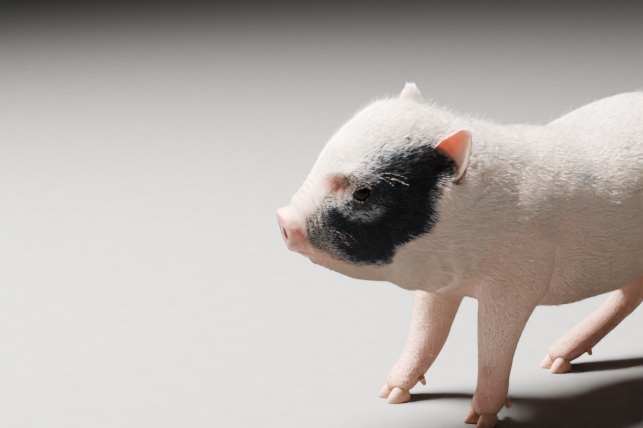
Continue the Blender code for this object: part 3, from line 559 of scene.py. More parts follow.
def facts(points, normals, owners):
    ahead, side, rise = headPlaces(points)
    _, y, z = points.T
    size = len(points)
    isHead, isNeck, isTorso, isTail, isEar, isLeg = partsOf(owners)
    disc = step(ahead - 0.0045 * step(rise, -0.004, 0.006), 0.1015, 0.1065) * isHead
    aheadWay = -np.array(headFrame().to_3x3())[:, 0]

    # how long and how dense the coat is, and how far it stands off the skin
    length = np.full(size, 0.0066)
    length += 0.0012 * step(normals[:, 2], 0.5, 0.95)
    length -= 0.0016 * step(-normals[:, 2], 0.4, 0.9)
    length = np.where(isHead, np.interp(ahead, *coat["onHead"]), length)
    length = np.where(isLeg, np.interp(z, *coat["onLegs"]), length)
    length = np.where(isTail, 0.0042 + 0.006 * step(-z, -0.125, -0.108), length)
    length[isEar] = 0.0030
    count = np.where(isHead, 1.05 + 1.35 * step(ahead, 0.02, 0.085), 1.0)
    count = np.where(isLeg, 0.80 + 0.35 * step(-z, -0.05, -0.02), count)
    count -= 0.30 * step(-normals[:, 2], 0.5, 0.95) * (isTorso | isNeck)
    stand = 0.25 * step(normals[:, 2], 0.4, 0.9) * (isHead | isNeck)
    stand += 0.45 * isEar
    stand -= 0.25 * isLeg * step(-z, -0.10, -0.06)
    nape = (isHead | isNeck) * step(normals[:, 2], 0.35, 0.85) * step(-np.abs(side), -0.032, -0.018)
    stand += 0.35 * nape
    length = length + 0.0010 * nape * step(-ahead, -0.07, -0.03)

    # thin hair inside the ears, which light shines through, shown as a painted glow
    glow, earRosy, tan, earBase = np.zeros(size), np.zeros(size), np.zeros(size), np.ones(size)
    for index, which in earParts:
        t, across, _, turn = earPlaces(which, points)
        mine = owners == index
        inner = step(normals @ turn[:, 0], -0.15, 0.25) * mine
        rim = np.maximum(step(np.abs(across), 0.78, 0.98), step(t, 0.88, 0.98))
        count = np.where(mine, (1.15 - 0.80 * inner) + 0.45 * rim, count)
        length = np.where(mine, 0.0022 + 0.0010 * rim + 0.0009 * inner * step(-t, -0.5, -0.1), length)
        # the painted glow: strongest at the front and top of the inner ear, full on the near ear and faint on
        # the far one
        warm = step(across + 0.30 * t, -0.30, 0.40) * (1 - 0.75 * step(t - 0.10 * across, 0.45, 1.05))
        lit, tanned = (1.0, 1.0) if which == "left" else (0.10, 0.3)
        glow = np.where(mine, warm * lit, glow)
        tan = np.where(mine, (0.35 + 0.65 * step(t, 0.35, 0.85)) * tanned, tan)
        earBase = np.where(mine, t, earBase)
        earRosy = np.where(mine, 0.12 + 0.25 * step(-t, -0.7, -0.2), earRosy)
    for which in sides:
        length = length * (1 - 0.55 * isHead * near(within(earFrame(which), points), (0, 0, 0), 0.016))
    # bare skin: the disc, the rims of the lids, the lips and the soles
    bare = disc
    for which in sides:
        _, ring, inFront = eyeRings(points, which)
        bare = np.maximum(bare, inFront * step(-ring, -1.16, -1.02))
        length = length * (1 - 0.5 * inFront * step(-ring, -2.4, -1.3))
        stand += 0.35 * inFront * hump(ring, 1.8, 0.7)
    mouth = toRoute(ahead, rise, build["mouth"])
    lips = isHead * step(-mouth, -0.0019, -0.0005) * (np.abs(side) > 0.003) * step(ahead, 0.072, 0.090)
    bare = np.maximum(bare, 0.65 * lips)
    sole = isLeg * step(-z, -0.0085, -0.006)
    bare = np.maximum(bare, sole)
    count *= 1 - bare

    # the patch over the eye, its fringe of pale hairs (blue-grey by a painted sheen in the hair's finish),
    # the flank spot and a faint painted shadow across the back
    shifted = (ahead + 0.0009 * wobble(points, 0.010, 31), rise + 0.0009 * wobble(points, 0.009, 32))
    inside, border = insideOutline(*shifted, patchOutline)
    deep = np.where(inside, border, -border)
    outward = (isHead | isNeck | isEar) & (np.abs(side) > 0.009)
    speckle = step(ahead, 0.081, 0.096)
    topEdge = step(rise - 0.35 * (0.05 - ahead), 0.016, 0.026)
    rear = step(-ahead, -0.040, -0.028)
    skinDark = outward * step(deep, -0.0045 - 0.0040 * rear, 0.0005 + 0.002 * speckle) * (1 - 0.06 * speckle)
    drawn = np.stack([8 * (0.90 * rise + 0.43 * ahead), 0.43 * rise - 0.90 * ahead, side], 1)
    combed = wobble(drawn, 0.012, 33)
    edge = deep + 0.0026 * combed * (0.35 + 0.65 * topEdge)
    temple = topEdge * step(-ahead, -0.062, -0.046)
    full = 0.0062 + 0.0068 * temple + 0.0060 * speckle + 0.0030 * rear
    hairDark = outward * step(edge, -0.0038 - 0.0014 * rear, full)
    hairDark *= (1 - 0.26 * topEdge * step(-deep, -0.012, -0.003)) * (1 - 0.52 * speckle)
    for index, which in earParts:
        t, across, inEar, _ = earPlaces(which, points)
        mine = owners == index
        share = 1.0 if which == "left" else 0.15
        lobe = step(-across, 0.42, 0.88) * step(-t, -0.60, -0.15)
        front = step(-t, -0.16, -0.02)
        skinDark = np.where(mine, share * np.maximum(0.85 * lobe, 0.75 * front), skinDark)
        hairDark = np.where(mine, share * np.maximum(0.55 * lobe, 0.80 * front), hairDark)
        # the ear canal: hair thinned and skin darkened with painted shade
        canal = near(inEar, build["canal"], 0.0060)
        skinDark = np.maximum(skinDark, 0.8 * isHead * canal)
        count = count * (1 - 0.6 * isHead * canal)
    underEar = outward * spotOf("underEar", ahead, rise)
    skinDark, hairDark = np.maximum(skinDark, 0.80 * underEar), np.maximum(hairDark, 0.72 * underEar)
    for which in sides:
        local, ring, inFront = eyeRings(points, which)
        lidDark = 0.60 * step(-ring, -1.60, -1.15) + 0.40 * step(-ring, -1.12, -0.98)
        skinDark = np.maximum(skinDark, inFront * lidDark)
        above, below = (step(s * local[:, 2], 0.0010, 0.0060) for s in (1, -1))
        turned = np.arctan2(local[:, 2], local[:, 1])
        fan = np.stack([0.010 * np.cos(turned), 0.010 * np.sin(turned), 0.0002 * ring], 1)
        rays = wobble(fan, 0.0016, 34)
        rearward = step(-ahead, -0.0600, -0.0500)
        lower = below * hump(ring, 2.50, 1.05) * (1 - 0.75 * rearward)
        pale = inFront * (above * hump(ring, 1.70, 0.50) + lower * np.clip(0.62 + 0.45 * rays, 0.1, 1.0))
        hairDark = hairDark * (1 - 0.80 * pale)
    tuft = spotOf("tuft", ahead, rise) * (np.abs(side) > 0.01)
    hairDark = hairDark * (1 - 0.85 * isHead * tuft * np.clip(0.75 + 0.4 * combed, 0.2, 1.0))
    blue = near(points, *coat["flankSpot"]) * (0.8 + 0.2 * wobble(points, 0.006, 41))
    # a faint painted shadow across the back
    saddleShadow = 0.30 * near(points, *coat["saddleShadow"])
    spot = np.clip(0.85 * blue + saddleShadow * (y > -0.04), 0, 1) * isTorso

    # rosy skin, the hollow before the eye darkened with painted shade, the seam of the mouth, the nostrils
    # with painted shade inside, and dirt mixed with painted shade
    rosy = 0.12 + isLeg * (0.20 + 0.45 * step(-z, -0.06, -0.02))
    rosy += 0.30 * step(-normals[:, 2], 0.3, 0.9)
    rosy += isHead * (0.45 * step(ahead, 0.086, 0.100))
    onCheek = isHead * (np.abs(side) > 0.01)
    shaded, thinned = (spotOf(name, ahead, rise) * onCheek for name in ("shaded", "thinned"))
    length = length * (1 - 0.45 * thinned)
    # the hollow before the eye: bare rosy skin darkened with painted shade
    rosy += 0.85 * shaded
    skinDark = skinDark * (1 - 0.75 * shaded * step(ahead, 0.0650, 0.0730)) + 0.34 * shaded
    hairDark *= 1 - 0.7 * shaded
    count = count * (1 - 0.95 * thinned) * (1 - 0.50 * skinDark * (1 - hairDark) * (isHead | isNeck))
    rosy = np.maximum(np.maximum(rosy, earRosy), 0.45 * lips)
    seam = isHead * hump(mouth, 0, 0.0006) * (np.abs(side) > 0.003) * step(ahead, 0.071, 0.085)
    skinDark = np.maximum(skinDark, 0.55 * seam)
    # the nostrils and a rim round them are painted dark red: painted shade inside the nostrils
    nostril = np.zeros(size)
    for sign in (-1, 1):
        ring = nostrilRing(side, rise, sign)
        nostril = np.maximum(nostril, step(-ring, -1.80, -0.90) * isHead * step(ahead, 0.100, 0.104))
    # a real scuff of mud, darker skin just above the soles, the disc a little darker, and painted shade: in
    # the hollow before the eye, over the lower half of the disc and under the front of the head, with a
    # painted shadow round each ear's base
    dirt = near(points, *coat["mud"])
    dirt += 0.5 * isLeg * step(-z, -0.014, -0.006) + 0.70 * shaded
    dirt += 0.60 * disc * step(-rise, 0.000, 0.012) + 0.14 * disc
    dirt += 0.55 * isHead * step(ahead, 0.055, 0.080) * step(-normals[:, 2], 0.0, 0.7)
    dirt += 0.60 * isEar * step(-earBase, -0.46, -0.08)
    # single hairs are densest on brow and nape
    facing = normals[:, 2] + 0.6 * (normals @ aheadWay)
    brow = isHead * step(facing, 0.45, 0.95) * step(-ahead, -0.098, -0.088)
    fringeCount = count * (1 + 4.0 * brow + 1.5 * nape)
    stand = stand + 0.45 * brow * step(-ahead, -0.09, -0.06)
    return {
        "hairLength": length,
        "fringeCount": np.clip(fringeCount, 0, None),
        "hairCount": np.clip(count, 0, None),
        "stand": stand,
        "skinDark": np.clip(skinDark, 0, 1),
        "hairDark": np.clip(hairDark, 0, 1),
        "spot": spot,
        "rosy": np.clip(rosy, 0, 1),
        "glow": np.clip(glow, 0, 1),
        "tan": tan,
        "muzzle": disc,
        "nostril": nostril,
        "dirt": np.clip(dirt, 0, 1),
    }


# one flat sheet for each part: along it and round it, with its ends opened out
def spreadOut(points, normals, corners, owners, owner):
    if fleshNames[owner].startswith("ear"):
        which = fleshNames[owner].split("_")[1]
        local = within(earFrame(which), points)
        opening = np.array(earFrame(which).to_3x3())[:, 0]
        inner = (normals @ opening > 0)[corners[:, 0]]
        u = np.clip(local[:, 1] / 0.044 + 0.55, 0, 1)[corners] * 0.46 + 0.02 + 0.5 * inner[:, None]
        v = np.clip((local[:, 2] + 0.006) / 0.046, 0, 1)[corners] * 0.96 + 0.02
        return np.stack([u, v], 2)
    used = np.unique(corners)
    own = points[used]
    if owner == 0:
        along, across, height = headPlaces(points)
        height = height + 0.10 * along
        centre = (0.0, -0.002)
    elif fleshNames[owner] in ("torso", "neck"):
        along, across, height = points.T
        centre = (0.001, own[:, 2].mean())
    else:
        along = points[:, 2]
        order = np.argsort(own[:, 2])
        rows = np.array_split(own[order], 12)
        heights = [row[:, 2].mean() for row in rows]
        across = points[:, 1] - np.interp(along, heights, [row[:, 1].mean() for row in rows])
        height = -(points[:, 0] - np.interp(along, heights, [row[:, 0].mean() for row in rows]))
        centre = (0.0, 0.0)
    radius = np.hypot(across - centre[0], height - centre[1])
    low, high = along[used].min(), along[used].max()
    lean = step(along, high - 0.2 * (high - low), high) - step(-along, -low - 0.2 * (high - low), -low)
    along = along - radius * lean
    low, high = along[used].min(), along[used].max()
    turn = np.arctan2(across - centre[0], height - centre[1])[corners]
    wraps = turn.max(1) - turn.min(1) > math.pi
    turn = np.where(wraps[:, None] & (turn < 0), turn + 2 * math.pi, turn)
    u = ((along - low) / (high - low))[corners] * 0.96 + 0.02
    v = (turn / (2 * math.pi) + 0.5) * 0.94 + 0.03
    return np.stack([u, v], 2)


def put(mesh, name, values, kind="FLOAT", domain="POINT"):
    layer = mesh.attributes.new(name, kind, domain)
    values = np.ascontiguousarray(values, dtype=np.int32 if kind == "INT" else np.float32)
    layer.data.foreach_set("value" if kind in ("FLOAT", "INT") else "vector", values.ravel())


def dressSkin():
    mesh = skin.data
    points, normals, edges = surface(mesh)
    corners = arrayOf(mesh.loops, "vertex_index", 1, np.int32).reshape(-1, 3)
    areas = arrayOf(mesh.polygons, "area", 1)
    owners = findPart(points)
    values = facts(points, normals, owners)
    for name in ("skinDark", "hairDark", "rosy", "glow", "hairCount", "hairLength", "stand"):
        values[name] = relax(values[name][:, None], edges, np.full(len(points), 0.5), 2)[:, 0]
    for name, value in values.items():
        put(mesh, name, value)
    put(mesh, "lie", layOfCoat(points, normals, edges, owners), "FLOAT_VECTOR")
    faceOwner = owners[corners[:, 0]]
    expected = areas * values["hairCount"][corners].mean(1) * coat["perArea"]
    faceMiddle = points[corners].mean(1)
    pieceOf = np.full(len(corners), -1)
    spread = np.zeros((len(corners), 3, 2))
    pieces = []
    for owner, name in enumerate(fleshNames):
        mine = np.nonzero(faceOwner == owner)[0]
        spread[mine] = spreadOut(points, normals, corners[mine], owners, owner)
        total = expected[mine].sum()
        shares = max(1, math.ceil(total / coat["mostTufts"]))
        order = mine[np.argsort(faceMiddle[mine, 0])]
        reached = np.cumsum(expected[order]) / total
        for k in range(shares):
            chosen = order[(reached > k / shares) & (reached <= (k + 1) / shares)] if shares > 1 else order
            pieceOf[chosen] = len(pieces)
            pieces.append("coat_" + name + ("_%d" % (k + 1) if shares > 1 else ""))
    put(mesh, "coatPiece", pieceOf, "INT", "FACE")
    put(mesh, "spread", spread, "FLOAT2", "CORNER")
    area = round(float(areas.sum()), 4)
    print("coat planned:", len(pieces), "pieces,", int(expected.sum()), "tufts,", area, "m2")
    return pieces


coatPieces = dressSkin()


# one socket of a node tree; sums on it add Math nodes
class Wire:
    def __init__(self, graph, socket):
        self.graph, self.socket = graph, socket

    def maths(self, operation, *values):
        return self.graph.node("ShaderNodeMath", {"operation": operation}, dict(enumerate(values)))

    def __add__(self, other):
        return self.maths("ADD", self, other)

    def __radd__(self, other):
        return self.maths("ADD", other, self)

    def __sub__(self, other):
        return self.maths("SUBTRACT", self, other)

    def __rsub__(self, other):
        return self.maths("SUBTRACT", other, self)

    def __mul__(self, other):
        return self.maths("MULTIPLY", self, other)

    def __rmul__(self, other):
        return self.maths("MULTIPLY", other, self)

    def __truediv__(self, other):
        return self.maths("DIVIDE", self, other)

    def __pow__(self, other):
        return self.maths("POWER", self, other)

    def most(self, other):
        return self.maths("MAXIMUM", self, other)

    def least(self, other):
        return self.maths("MINIMUM", self, other)

    def between(self, low, high):
        sockets = {"Value": self, "From Min": low, "From Max": high}
        return self.graph.node("ShaderNodeMapRange", {"interpolation_type": "SMOOTHSTEP"}, sockets)


# a node tree whose nodes all come from one method
class Graph:
    def __init__(self, tree):
        self.tree = tree

    def socket(self, sockets, key):
        if isinstance(key, int):
            return sockets[key]
        return next(s for s in sockets if s.name == key and s.enabled)

    def node(self, kind, settings=None, sockets=None, output=None):
        made = self.tree.nodes.new(kind)
        for name, value in (settings or {}).items():
            setattr(made, name, value)
        for key, value in (sockets or {}).items():
            target = self.socket(made.inputs, key)
            if isinstance(value, Wire):
                self.tree.links.new(value.socket, target)
            else:
                target.default_value = value
        first = next(s for s in made.outputs if s.enabled)
        return Wire(self, first if output is None else self.socket(made.outputs, output))

    def vector(self, operation, *values):
        return self.node("ShaderNodeVectorMath", {"operation": operation}, dict(enumerate(values)))

    def scaled(self, vector, amount):
        return self.node("ShaderNodeVectorMath", {"operation": "SCALE"}, {"Vector": vector, "Scale": amount})

    def mix(self, amount, *colours):
        first, second = ((*c, 1.0) if isinstance(c, tuple) else c for c in colours)
        return self.node("ShaderNodeMix", {"data_type": "RGBA"}, {"Factor": amount, "A": first, "B": second})

    def read(self, name, output="Fac"):
        return self.node("ShaderNodeAttribute", {"attribute_name": name}, None, output)


class Finish(Graph):
    def __init__(self, name, fixed):
        self.material = bpy.data.materials.new(name)
        self.material.use_nodes = True
        super().__init__(self.material.node_tree)
        self.shader = next(n for n in self.tree.nodes if n.type == "BSDF_PRINCIPLED")
        for label, value in fixed.items():
            self.shader.inputs[label].default_value = value
        self.place = self.node("ShaderNodeTexCoord", None, None, "Object")

    def noise(self, scale, detail=3.0, stretch=None):
        where = self.place
        if stretch is not None:
            where = self.node("ShaderNodeMapping", None, {"Vector": where, "Scale": stretch})
        sockets = {"Vector": where, "Scale": scale, "Detail": detail, "Roughness": 0.55}
        return self.node("ShaderNodeTexNoise", None, sockets, "Fac")

    def cells(self, scale, feature="F1"):
        sockets = {"Vector": self.place, "Scale": scale}
        return self.node("ShaderNodeTexVoronoi", {"feature": feature}, sockets, "Distance")

    def feed(self, colour, roughness=None, height=None, distance=0.0003, strength=0.6):
        for name, wire in (("Base Color", colour), ("Roughness", roughness)):
            if wire is not None:
                self.tree.links.new(wire.socket, self.shader.inputs[name])
        if height is not None:
            sockets = {"Strength": strength, "Distance": distance, "Height": height}
            bump = self.node("ShaderNodeBump", None, sockets)
            self.tree.links.new(bump.socket, self.shader.inputs["Normal"])
        return self.material


skinLook = {
    "pale": (0.74, 0.52, 0.42),
    "warm": (0.66, 0.40, 0.31),
    "rosy": (0.62, 0.205, 0.155),
    "dark": (0.0055, 0.0050, 0.0062),
    "blue": (0.16, 0.19, 0.24),
    "glow": (0.90, 0.115, 0.030),
    "disc": (0.62, 0.165, 0.135),
    "discPale": (0.74, 0.36, 0.31),
    # painted shade inside the nostrils
    "nostril": (0.075, 0.008, 0.008),
    "dirt": (0.16, 0.09, 0.055),
    "tan": (0.66, 0.42, 0.25),
}


def skinFinish():
    under = {"Subsurface Weight": 0.12, "Subsurface Scale": 0.003, "Subsurface Radius": (1.0, 0.35, 0.2)}
    f = Finish("pigSkin", {**under, "Specular IOR Level": 0.28})
    dark, rosy, glow, muzzle = (f.read(n) for n in ("skinDark", "rosy", "glow", "muzzle"))
    spot, dirt = f.read("spot"), f.read("dirt")
    blotch = f.noise(38.0, 4.0)
    fine = f.noise(420.0, 3.0)
    colour = f.mix(blotch.between(0.35, 0.7), skinLook["pale"], skinLook["warm"])
    colour = f.mix((rosy * (0.7 + 0.6 * fine)).least(1.0), colour, skinLook["rosy"])
    colour = f.mix(f.read("tan") * 0.8, colour, skinLook["tan"])
    # the ears' painted glow of light shining through
    colour = f.mix((glow * (0.75 + 0.4 * fine)).least(1.0), colour, skinLook["glow"])
    mottle = f.noise(310.0, 4.0)
    disc = f.mix(mottle.between(0.28, 0.78), skinLook["disc"], skinLook["discPale"])
    colour = f.mix((muzzle * 0.9).least(1.0), colour, disc)
    # painted shade inside the nostrils
    colour = f.mix(f.read("nostril") * 0.92, colour, skinLook["nostril"])
    # the blue-grey flank spot and a faint painted shadow across the back
    colour = f.mix((spot * (0.6 + 0.6 * fine)).least(1.0), colour, skinLook["blue"])
    # dark skin: the patch, the lids and the mouth's seam, with painted shade in the ear canals and the hollow
    # before the eye
    colour = f.mix((dark * 1.25 - (1.0 - fine) * 0.35).between(0.0, 1.0), colour, skinLook["dark"])
    # dirt, and painted shade in the hollow, on the lower disc, under the jaw and round the ears' bases
    colour = f.mix((dirt * (0.3 + 1.1 * blotch)).least(1.0) * 0.75, colour, skinLook["dirt"])
    streakX = f.noise(1.0, 2.0, (95.0, 1500.0, 1500.0))
    streakZ = f.noise(1.0, 2.0, (1500.0, 1500.0, 95.0))
    upright = f.node("ShaderNodeSeparateXYZ", None, {"Vector": f.read("lie", "Vector")}, "Z")
    upright = (upright * upright).between(0.25, 0.6)
    hairLine = streakX * (1.0 - upright) + streakZ * upright
    furry = f.read("hairCount").between(0.05, 0.7)
    pores = f.cells(1900.0)
    wrinkle = f.cells(520.0, "DISTANCE_TO_EDGE").between(0.0, 0.28)
    bare = 1.0 - furry
    pits = f.cells(1150.0).between(0.0, 0.32)
    height = hairLine * furry * 0.8 + pores * bare * 0.30 + wrinkle * bare * 0.55 + f.noise(240.0, 4.0) * 0.5
    height = height + pits * muzzle * 0.5 + mottle * muzzle * 0.6
    colour = f.mix(furry * hairLine.between(0.5, 0.72) * 0.35 * (1.0 - dark), colour, (0.86, 0.80, 0.74))
    rough = 0.64 - 0.16 * muzzle + 0.20 * (fine - 0.5)
    return f.feed(colour, rough, height, 0.00035, 0.55)


hairLook = {
    "white": (0.90, 0.86, 0.80),
    "cream": (0.80, 0.70, 0.58),
    "root": (0.66, 0.42, 0.33),
    "black": (0.0036, 0.0041, 0.0064),
    "sheenGrey": (0.085, 0.110, 0.170),
    "blueSheen": (0.52, 0.58, 0.76),
    # painted shade: for streaks between the hairs, and for the coat low on the body
    "shade": (0.38, 0.27, 0.17),
    "low": (0.50, 0.38, 0.255),
}


def hairFinish():
    f = Finish("pigHair", {"Specular IOR Level": 0.22})
    along, tone, black = (f.read(n) for n in ("along", "tone", "black"))
    rosy = f.read("rosy")
    white = f.mix(tone.between(0.55, 1.0), hairLook["white"], hairLook["cream"])
    root = f.mix(rosy, hairLook["root"], skinLook["rosy"])
    # darker streaks of painted shade between the hairs, and painted shade that darkens the coat lower down
    # the body
    streak = f.noise(1.0, 3.0, (55.0, 420.0, 420.0)).between(0.45, 0.72)
    low = f.node("ShaderNodeSeparateXYZ", None, {"Vector": f.place}, "Z").between(0.185, 0.085)
    white = f.mix(streak * (0.25 + 0.20 * low), white, hairLook["shade"])
    white = f.mix(low * 0.80, white, hairLook["low"])
    light = f.mix(along.between(0.0, 0.55), root, white)
    # the hair takes the flank spot and the painted shadow on the back, the ears' painted glow, and dirt with
    # painted shade
    for name, share, tint in (("spot", 0.62, "blue"), ("glow", 0.55, "glow"), ("dirt", 0.75, "dirt")):
        light = f.mix(f.read(name) * share, light, skinLook[tint])
    # a painted blue sheen on pale hairs over dark skin
    light = f.mix(black.between(0.0, 0.45) * 0.75, light, hairLook["blueSheen"])
    # the tips of some black hairs are a lighter blue-grey, a painted sheen
    deep = f.mix(tone.between(0.70, 1.0) * along, hairLook["black"], hairLook["sheenGrey"])
    colour = f.mix(black, light, deep)
    rough = 0.50 - 0.10 * black + 0.1 * tone
    return f.feed(colour, rough)


skinMaterial, hairMaterial = skinFinish(), hairFinish()


# one tuft, a metre long and a metre wide, that the tree scales: a closed blade of four faces
def tuftShape():
    mesh = bpy.data.meshes.new("tuftShape")
    corners = [(0, 0, 0), (1, 0, 0), (0.36, 0.5, 0.9), (0.36, -0.5, 0.9)]
    mesh.from_pydata(corners, [], [(0, 1, 2), (0, 3, 1), (0, 2, 3), (1, 3, 2)])
    faces = bmesh.new()
    faces.from_mesh(mesh)
    bmesh.ops.recalc_face_normals(faces, faces=faces.faces)
    faces.to_mesh(mesh)
    faces.free()
    put(mesh, "along", [0.0, 1.0, 0.36, 0.36])
    flat = {0: (0, 0.5), 1: (1, 0.5), 2: (0.36, 1), 3: (0.36, 0)}
    put(mesh, "leafMap", [flat[loop.vertex_index] for loop in mesh.loops], "FLOAT2", "CORNER")
    return linked("tuftShape", mesh)


thirds = [(math.cos(a), math.sin(a)) for a in (0, 2.094, 4.189)]


# the faces of a hair with three sides, from its root to its tip
def closeHair(made, rows, tip):
    made.faces.new(rows[0])
    for i in range(3):
        for low, high in zip(rows, rows[1:]):
            made.faces.new((low[i], high[i], high[i - 1], low[i - 1]))
        made.faces.new((rows[-1][i], tip, rows[-1][i - 1]))


# one bent hair of a few short rings, for the fringe
def hairShape():
    made = bmesh.new()
    rings, bend, rows = 5, 0.16, []
    for k in range(rings):
        t = k / rings
        thick = 0.5 * (1 - 0.75 * t)
        rows.append([made.verts.new((t, thick * y, thick * z - bend * t * t)) for y, z in thirds])
    closeHair(made, rows, made.verts.new((1.0, 0, -bend)))
    bmesh.ops.recalc_face_normals(made, faces=made.faces)
    bmesh.ops.triangulate(made, faces=made.faces)
    mesh = meshOf(made, "hairShape")
    places = arrayOf(mesh.vertices, "co", 3)
    put(mesh, "along", places[:, 0])
    corner = places[arrayOf(mesh.loops, "vertex_index", 1, np.int32)]
    put(mesh, "leafMap", np.stack([corner[:, 0], corner[:, 1] + 0.5], 1), "FLOAT2", "CORNER")
    return linked("hairShape", mesh)


# scatters a shape over one piece of the skin or all of it, laid the way the coat lies
def coatTree(shape, name, amount="hairCount"):
    tree = bpy.data.node_groups.new(name, "GeometryNodeTree")
    tree.interface.new_socket("Geometry", in_out="OUTPUT", socket_type="NodeSocketGeometry")
    inputs = {"Geometry": "NodeSocketGeometry", "Piece": "NodeSocketInt", "Seed": "NodeSocketInt"}
    for label in ("Tufts per area", "Length", "Width", "Height", "Rise", "Spread", "Patch"):
        inputs[label] = "NodeSocketFloat"
    for label, kind in inputs.items():
        tree.interface.new_socket(label, in_out="INPUT", socket_type=kind)
    g = Graph(tree)
    enter = tree.nodes.new("NodeGroupInput")
    given = {label: Wire(g, enter.outputs[label]) for label in inputs}

    def named(label, kind="FLOAT"):
        return g.node("GeometryNodeInputNamedAttribute", {"data_type": kind}, {"Name": label})

    def random(low, high, seed, kind="FLOAT"):
        return g.node("FunctionNodeRandomValue", {"data_type": kind}, {"Min": low, "Max": high, "Seed": seed})

    def compared(operation, first, second):
        settings = {"data_type": "INT", "operation": operation}
        return g.node("FunctionNodeCompare", settings, {"A": first, "B": second})

    def stored(geometry, label, value, kind="FLOAT", domain="POINT"):
        settings = {"data_type": kind, "domain": domain}
        sockets = {"Geometry": geometry, "Name": label, "Value": value}
        return g.node("GeometryNodeStoreNamedAttribute", settings, sockets)

    # a piece below 0 stands for the whole skin
    isPiece = compared("EQUAL", named("coatPiece", "INT"), given["Piece"])
    every = compared("LESS_THAN", given["Piece"], 0)
    chosen = g.node("FunctionNodeBooleanMath", {"operation": "OR"}, {0: isPiece, 1: every})
    parted = {"Geometry": given["Geometry"], "Selection": chosen}
    patch = g.node("GeometryNodeSeparateGeometry", {"domain": "FACE"}, parted)
    density = named(amount) * given["Tufts per area"]
    scatter = {"Mesh": patch, "Density": density, "Seed": given["Seed"]}
    points = g.node("GeometryNodeDistributePointsOnFaces", {"distribute_method": "RANDOM"}, scatter)
    normal = Wire(g, points.socket.node.outputs["Normal"])
    jitter = g.scaled(random((-1.0, -1.0, -1.0), (1.0, 1.0, 1.0), 3, "FLOAT_VECTOR"), given["Spread"])
    rise = given["Rise"] * (1.0 + named("stand") * 2.2) * random(0.5, 1.6, 4)
    way = g.vector("ADD", g.vector("ADD", named("lie", "FLOAT_VECTOR"), g.scaled(normal, rise)), jitter)
    axes = {"primary_axis": "X", "secondary_axis": "Z"}
    turn = g.node("FunctionNodeAxesToRotation", axes, {"Primary Axis": way, "Secondary Axis": normal})
    length = named("hairLength") * given["Length"] * random(0.65, 1.25, 5)
    width = given["Width"] * random(0.7, 1.2, 6)
    size = g.node("ShaderNodeCombineXYZ", None, {"X": length, "Y": width, "Z": given["Height"]})
    dark = (named("hairDark") * 2.3 - random(0.0, 1.3, 7)).most(0.0).least(1.0)
    points = stored(points, "tone", random(0.0, 1.0, 8))
    points = stored(points, "black", dark)
    points = stored(points, "rootMap", named("spread", "FLOAT_VECTOR"), "FLOAT_VECTOR")
    shapeOut = g.node("GeometryNodeObjectInfo", None, {"Object": shape}, "Geometry")
    planted = {"Points": points, "Instance": shapeOut, "Rotation": turn, "Scale": size}
    instances = g.node("GeometryNodeInstanceOnPoints", None, planted)
    real = g.node("GeometryNodeRealizeInstances", None, {"Geometry": instances})
    corner = g.vector("SUBTRACT", named("leafMap", "FLOAT_VECTOR"), (0.5, 0.5, 0.0))
    place = g.vector("ADD", named("rootMap", "FLOAT_VECTOR"), g.scaled(corner, given["Patch"]))
    mapped = stored(real, "OFBake", place, "FLOAT2", "CORNER")
    last = g.node("GeometryNodeSetMaterial", None, {"Geometry": mapped, "Material": hairMaterial})
    tree.links.new(last.socket, tree.nodes.new("NodeGroupOutput").inputs[0])
    return tree


# lays one coat piece with the values of a row, and keeps only what the hair's material reads
def grow(name, tree, row, piece, seed):
    inputs = {"Piece": piece, "Seed": seed, "Patch": coat["patchSize"], "Tufts per area": row["perArea"]}
    inputs.update({label: row[label.lower()] for label in ("Length", "Width", "Height", "Spread")})
    inputs["Rise"] = math.tan(math.radians(row["riseAngle"]))
    host = linked(name + "Host", skin.data)
    modifier = host.modifiers.new("coat", "NODES")
    modifier.node_group = tree
    for item in tree.interface.items_tree:
        if item.in_out == "INPUT" and item.name in inputs:
            modifier[item.identifier] = inputs[item.name]
    mesh = baked(host)
    bpy.data.objects.remove(host)
    kept = {"along", "tone", "black", "rosy", "spot", "glow", "dirt", "OFBake"}
    kept.update(("position", ".edge_verts", ".corner_vert", ".corner_edge"))
    for label in [a.name for a in mesh.attributes if a.name not in kept and not a.is_required]:
        mesh.attributes.remove(mesh.attributes[label])
    mesh.name = name
    made = linked(name, mesh)
    mesh.materials.clear()
    mesh.materials.append(hairMaterial)
    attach(made, "root")
    return made


def growCoat():
    shape = tuftShape()
    tree = coatTree(shape, "layTufts")
    total = 0
    for index, name in enumerate(coatPieces):
        made = grow(name, tree, coat, index, 100 + index)
        total += len(made.data.polygons)
        print("coat:", name, len(made.data.polygons))
    dropped(shape)
    print("coat laid:", total, "triangles")


growCoat()

fringe = {
    "perArea": 24000.0,
    "length": 1.15,
    "width": 0.00013,
    "height": 0.00013,
    "riseAngle": 24.0,
    "spread": 0.24,
}


def growFringe():
    shape = hairShape()
    tree = coatTree(shape, "layHairs", "fringeCount")
    made = grow("coat_fringe", tree, fringe, -1, 77)
    dropped(shape)
    print("fringe laid:", len(made.data.polygons), "triangles")


growFringe()

eye = {
    "rings": 40,
    "round": 56,
    "iris": 0.0062,
    "pupilWide": 0.0038,
    "pupilHigh": 0.0032,
    "corneaBulge": 0.00035,
}


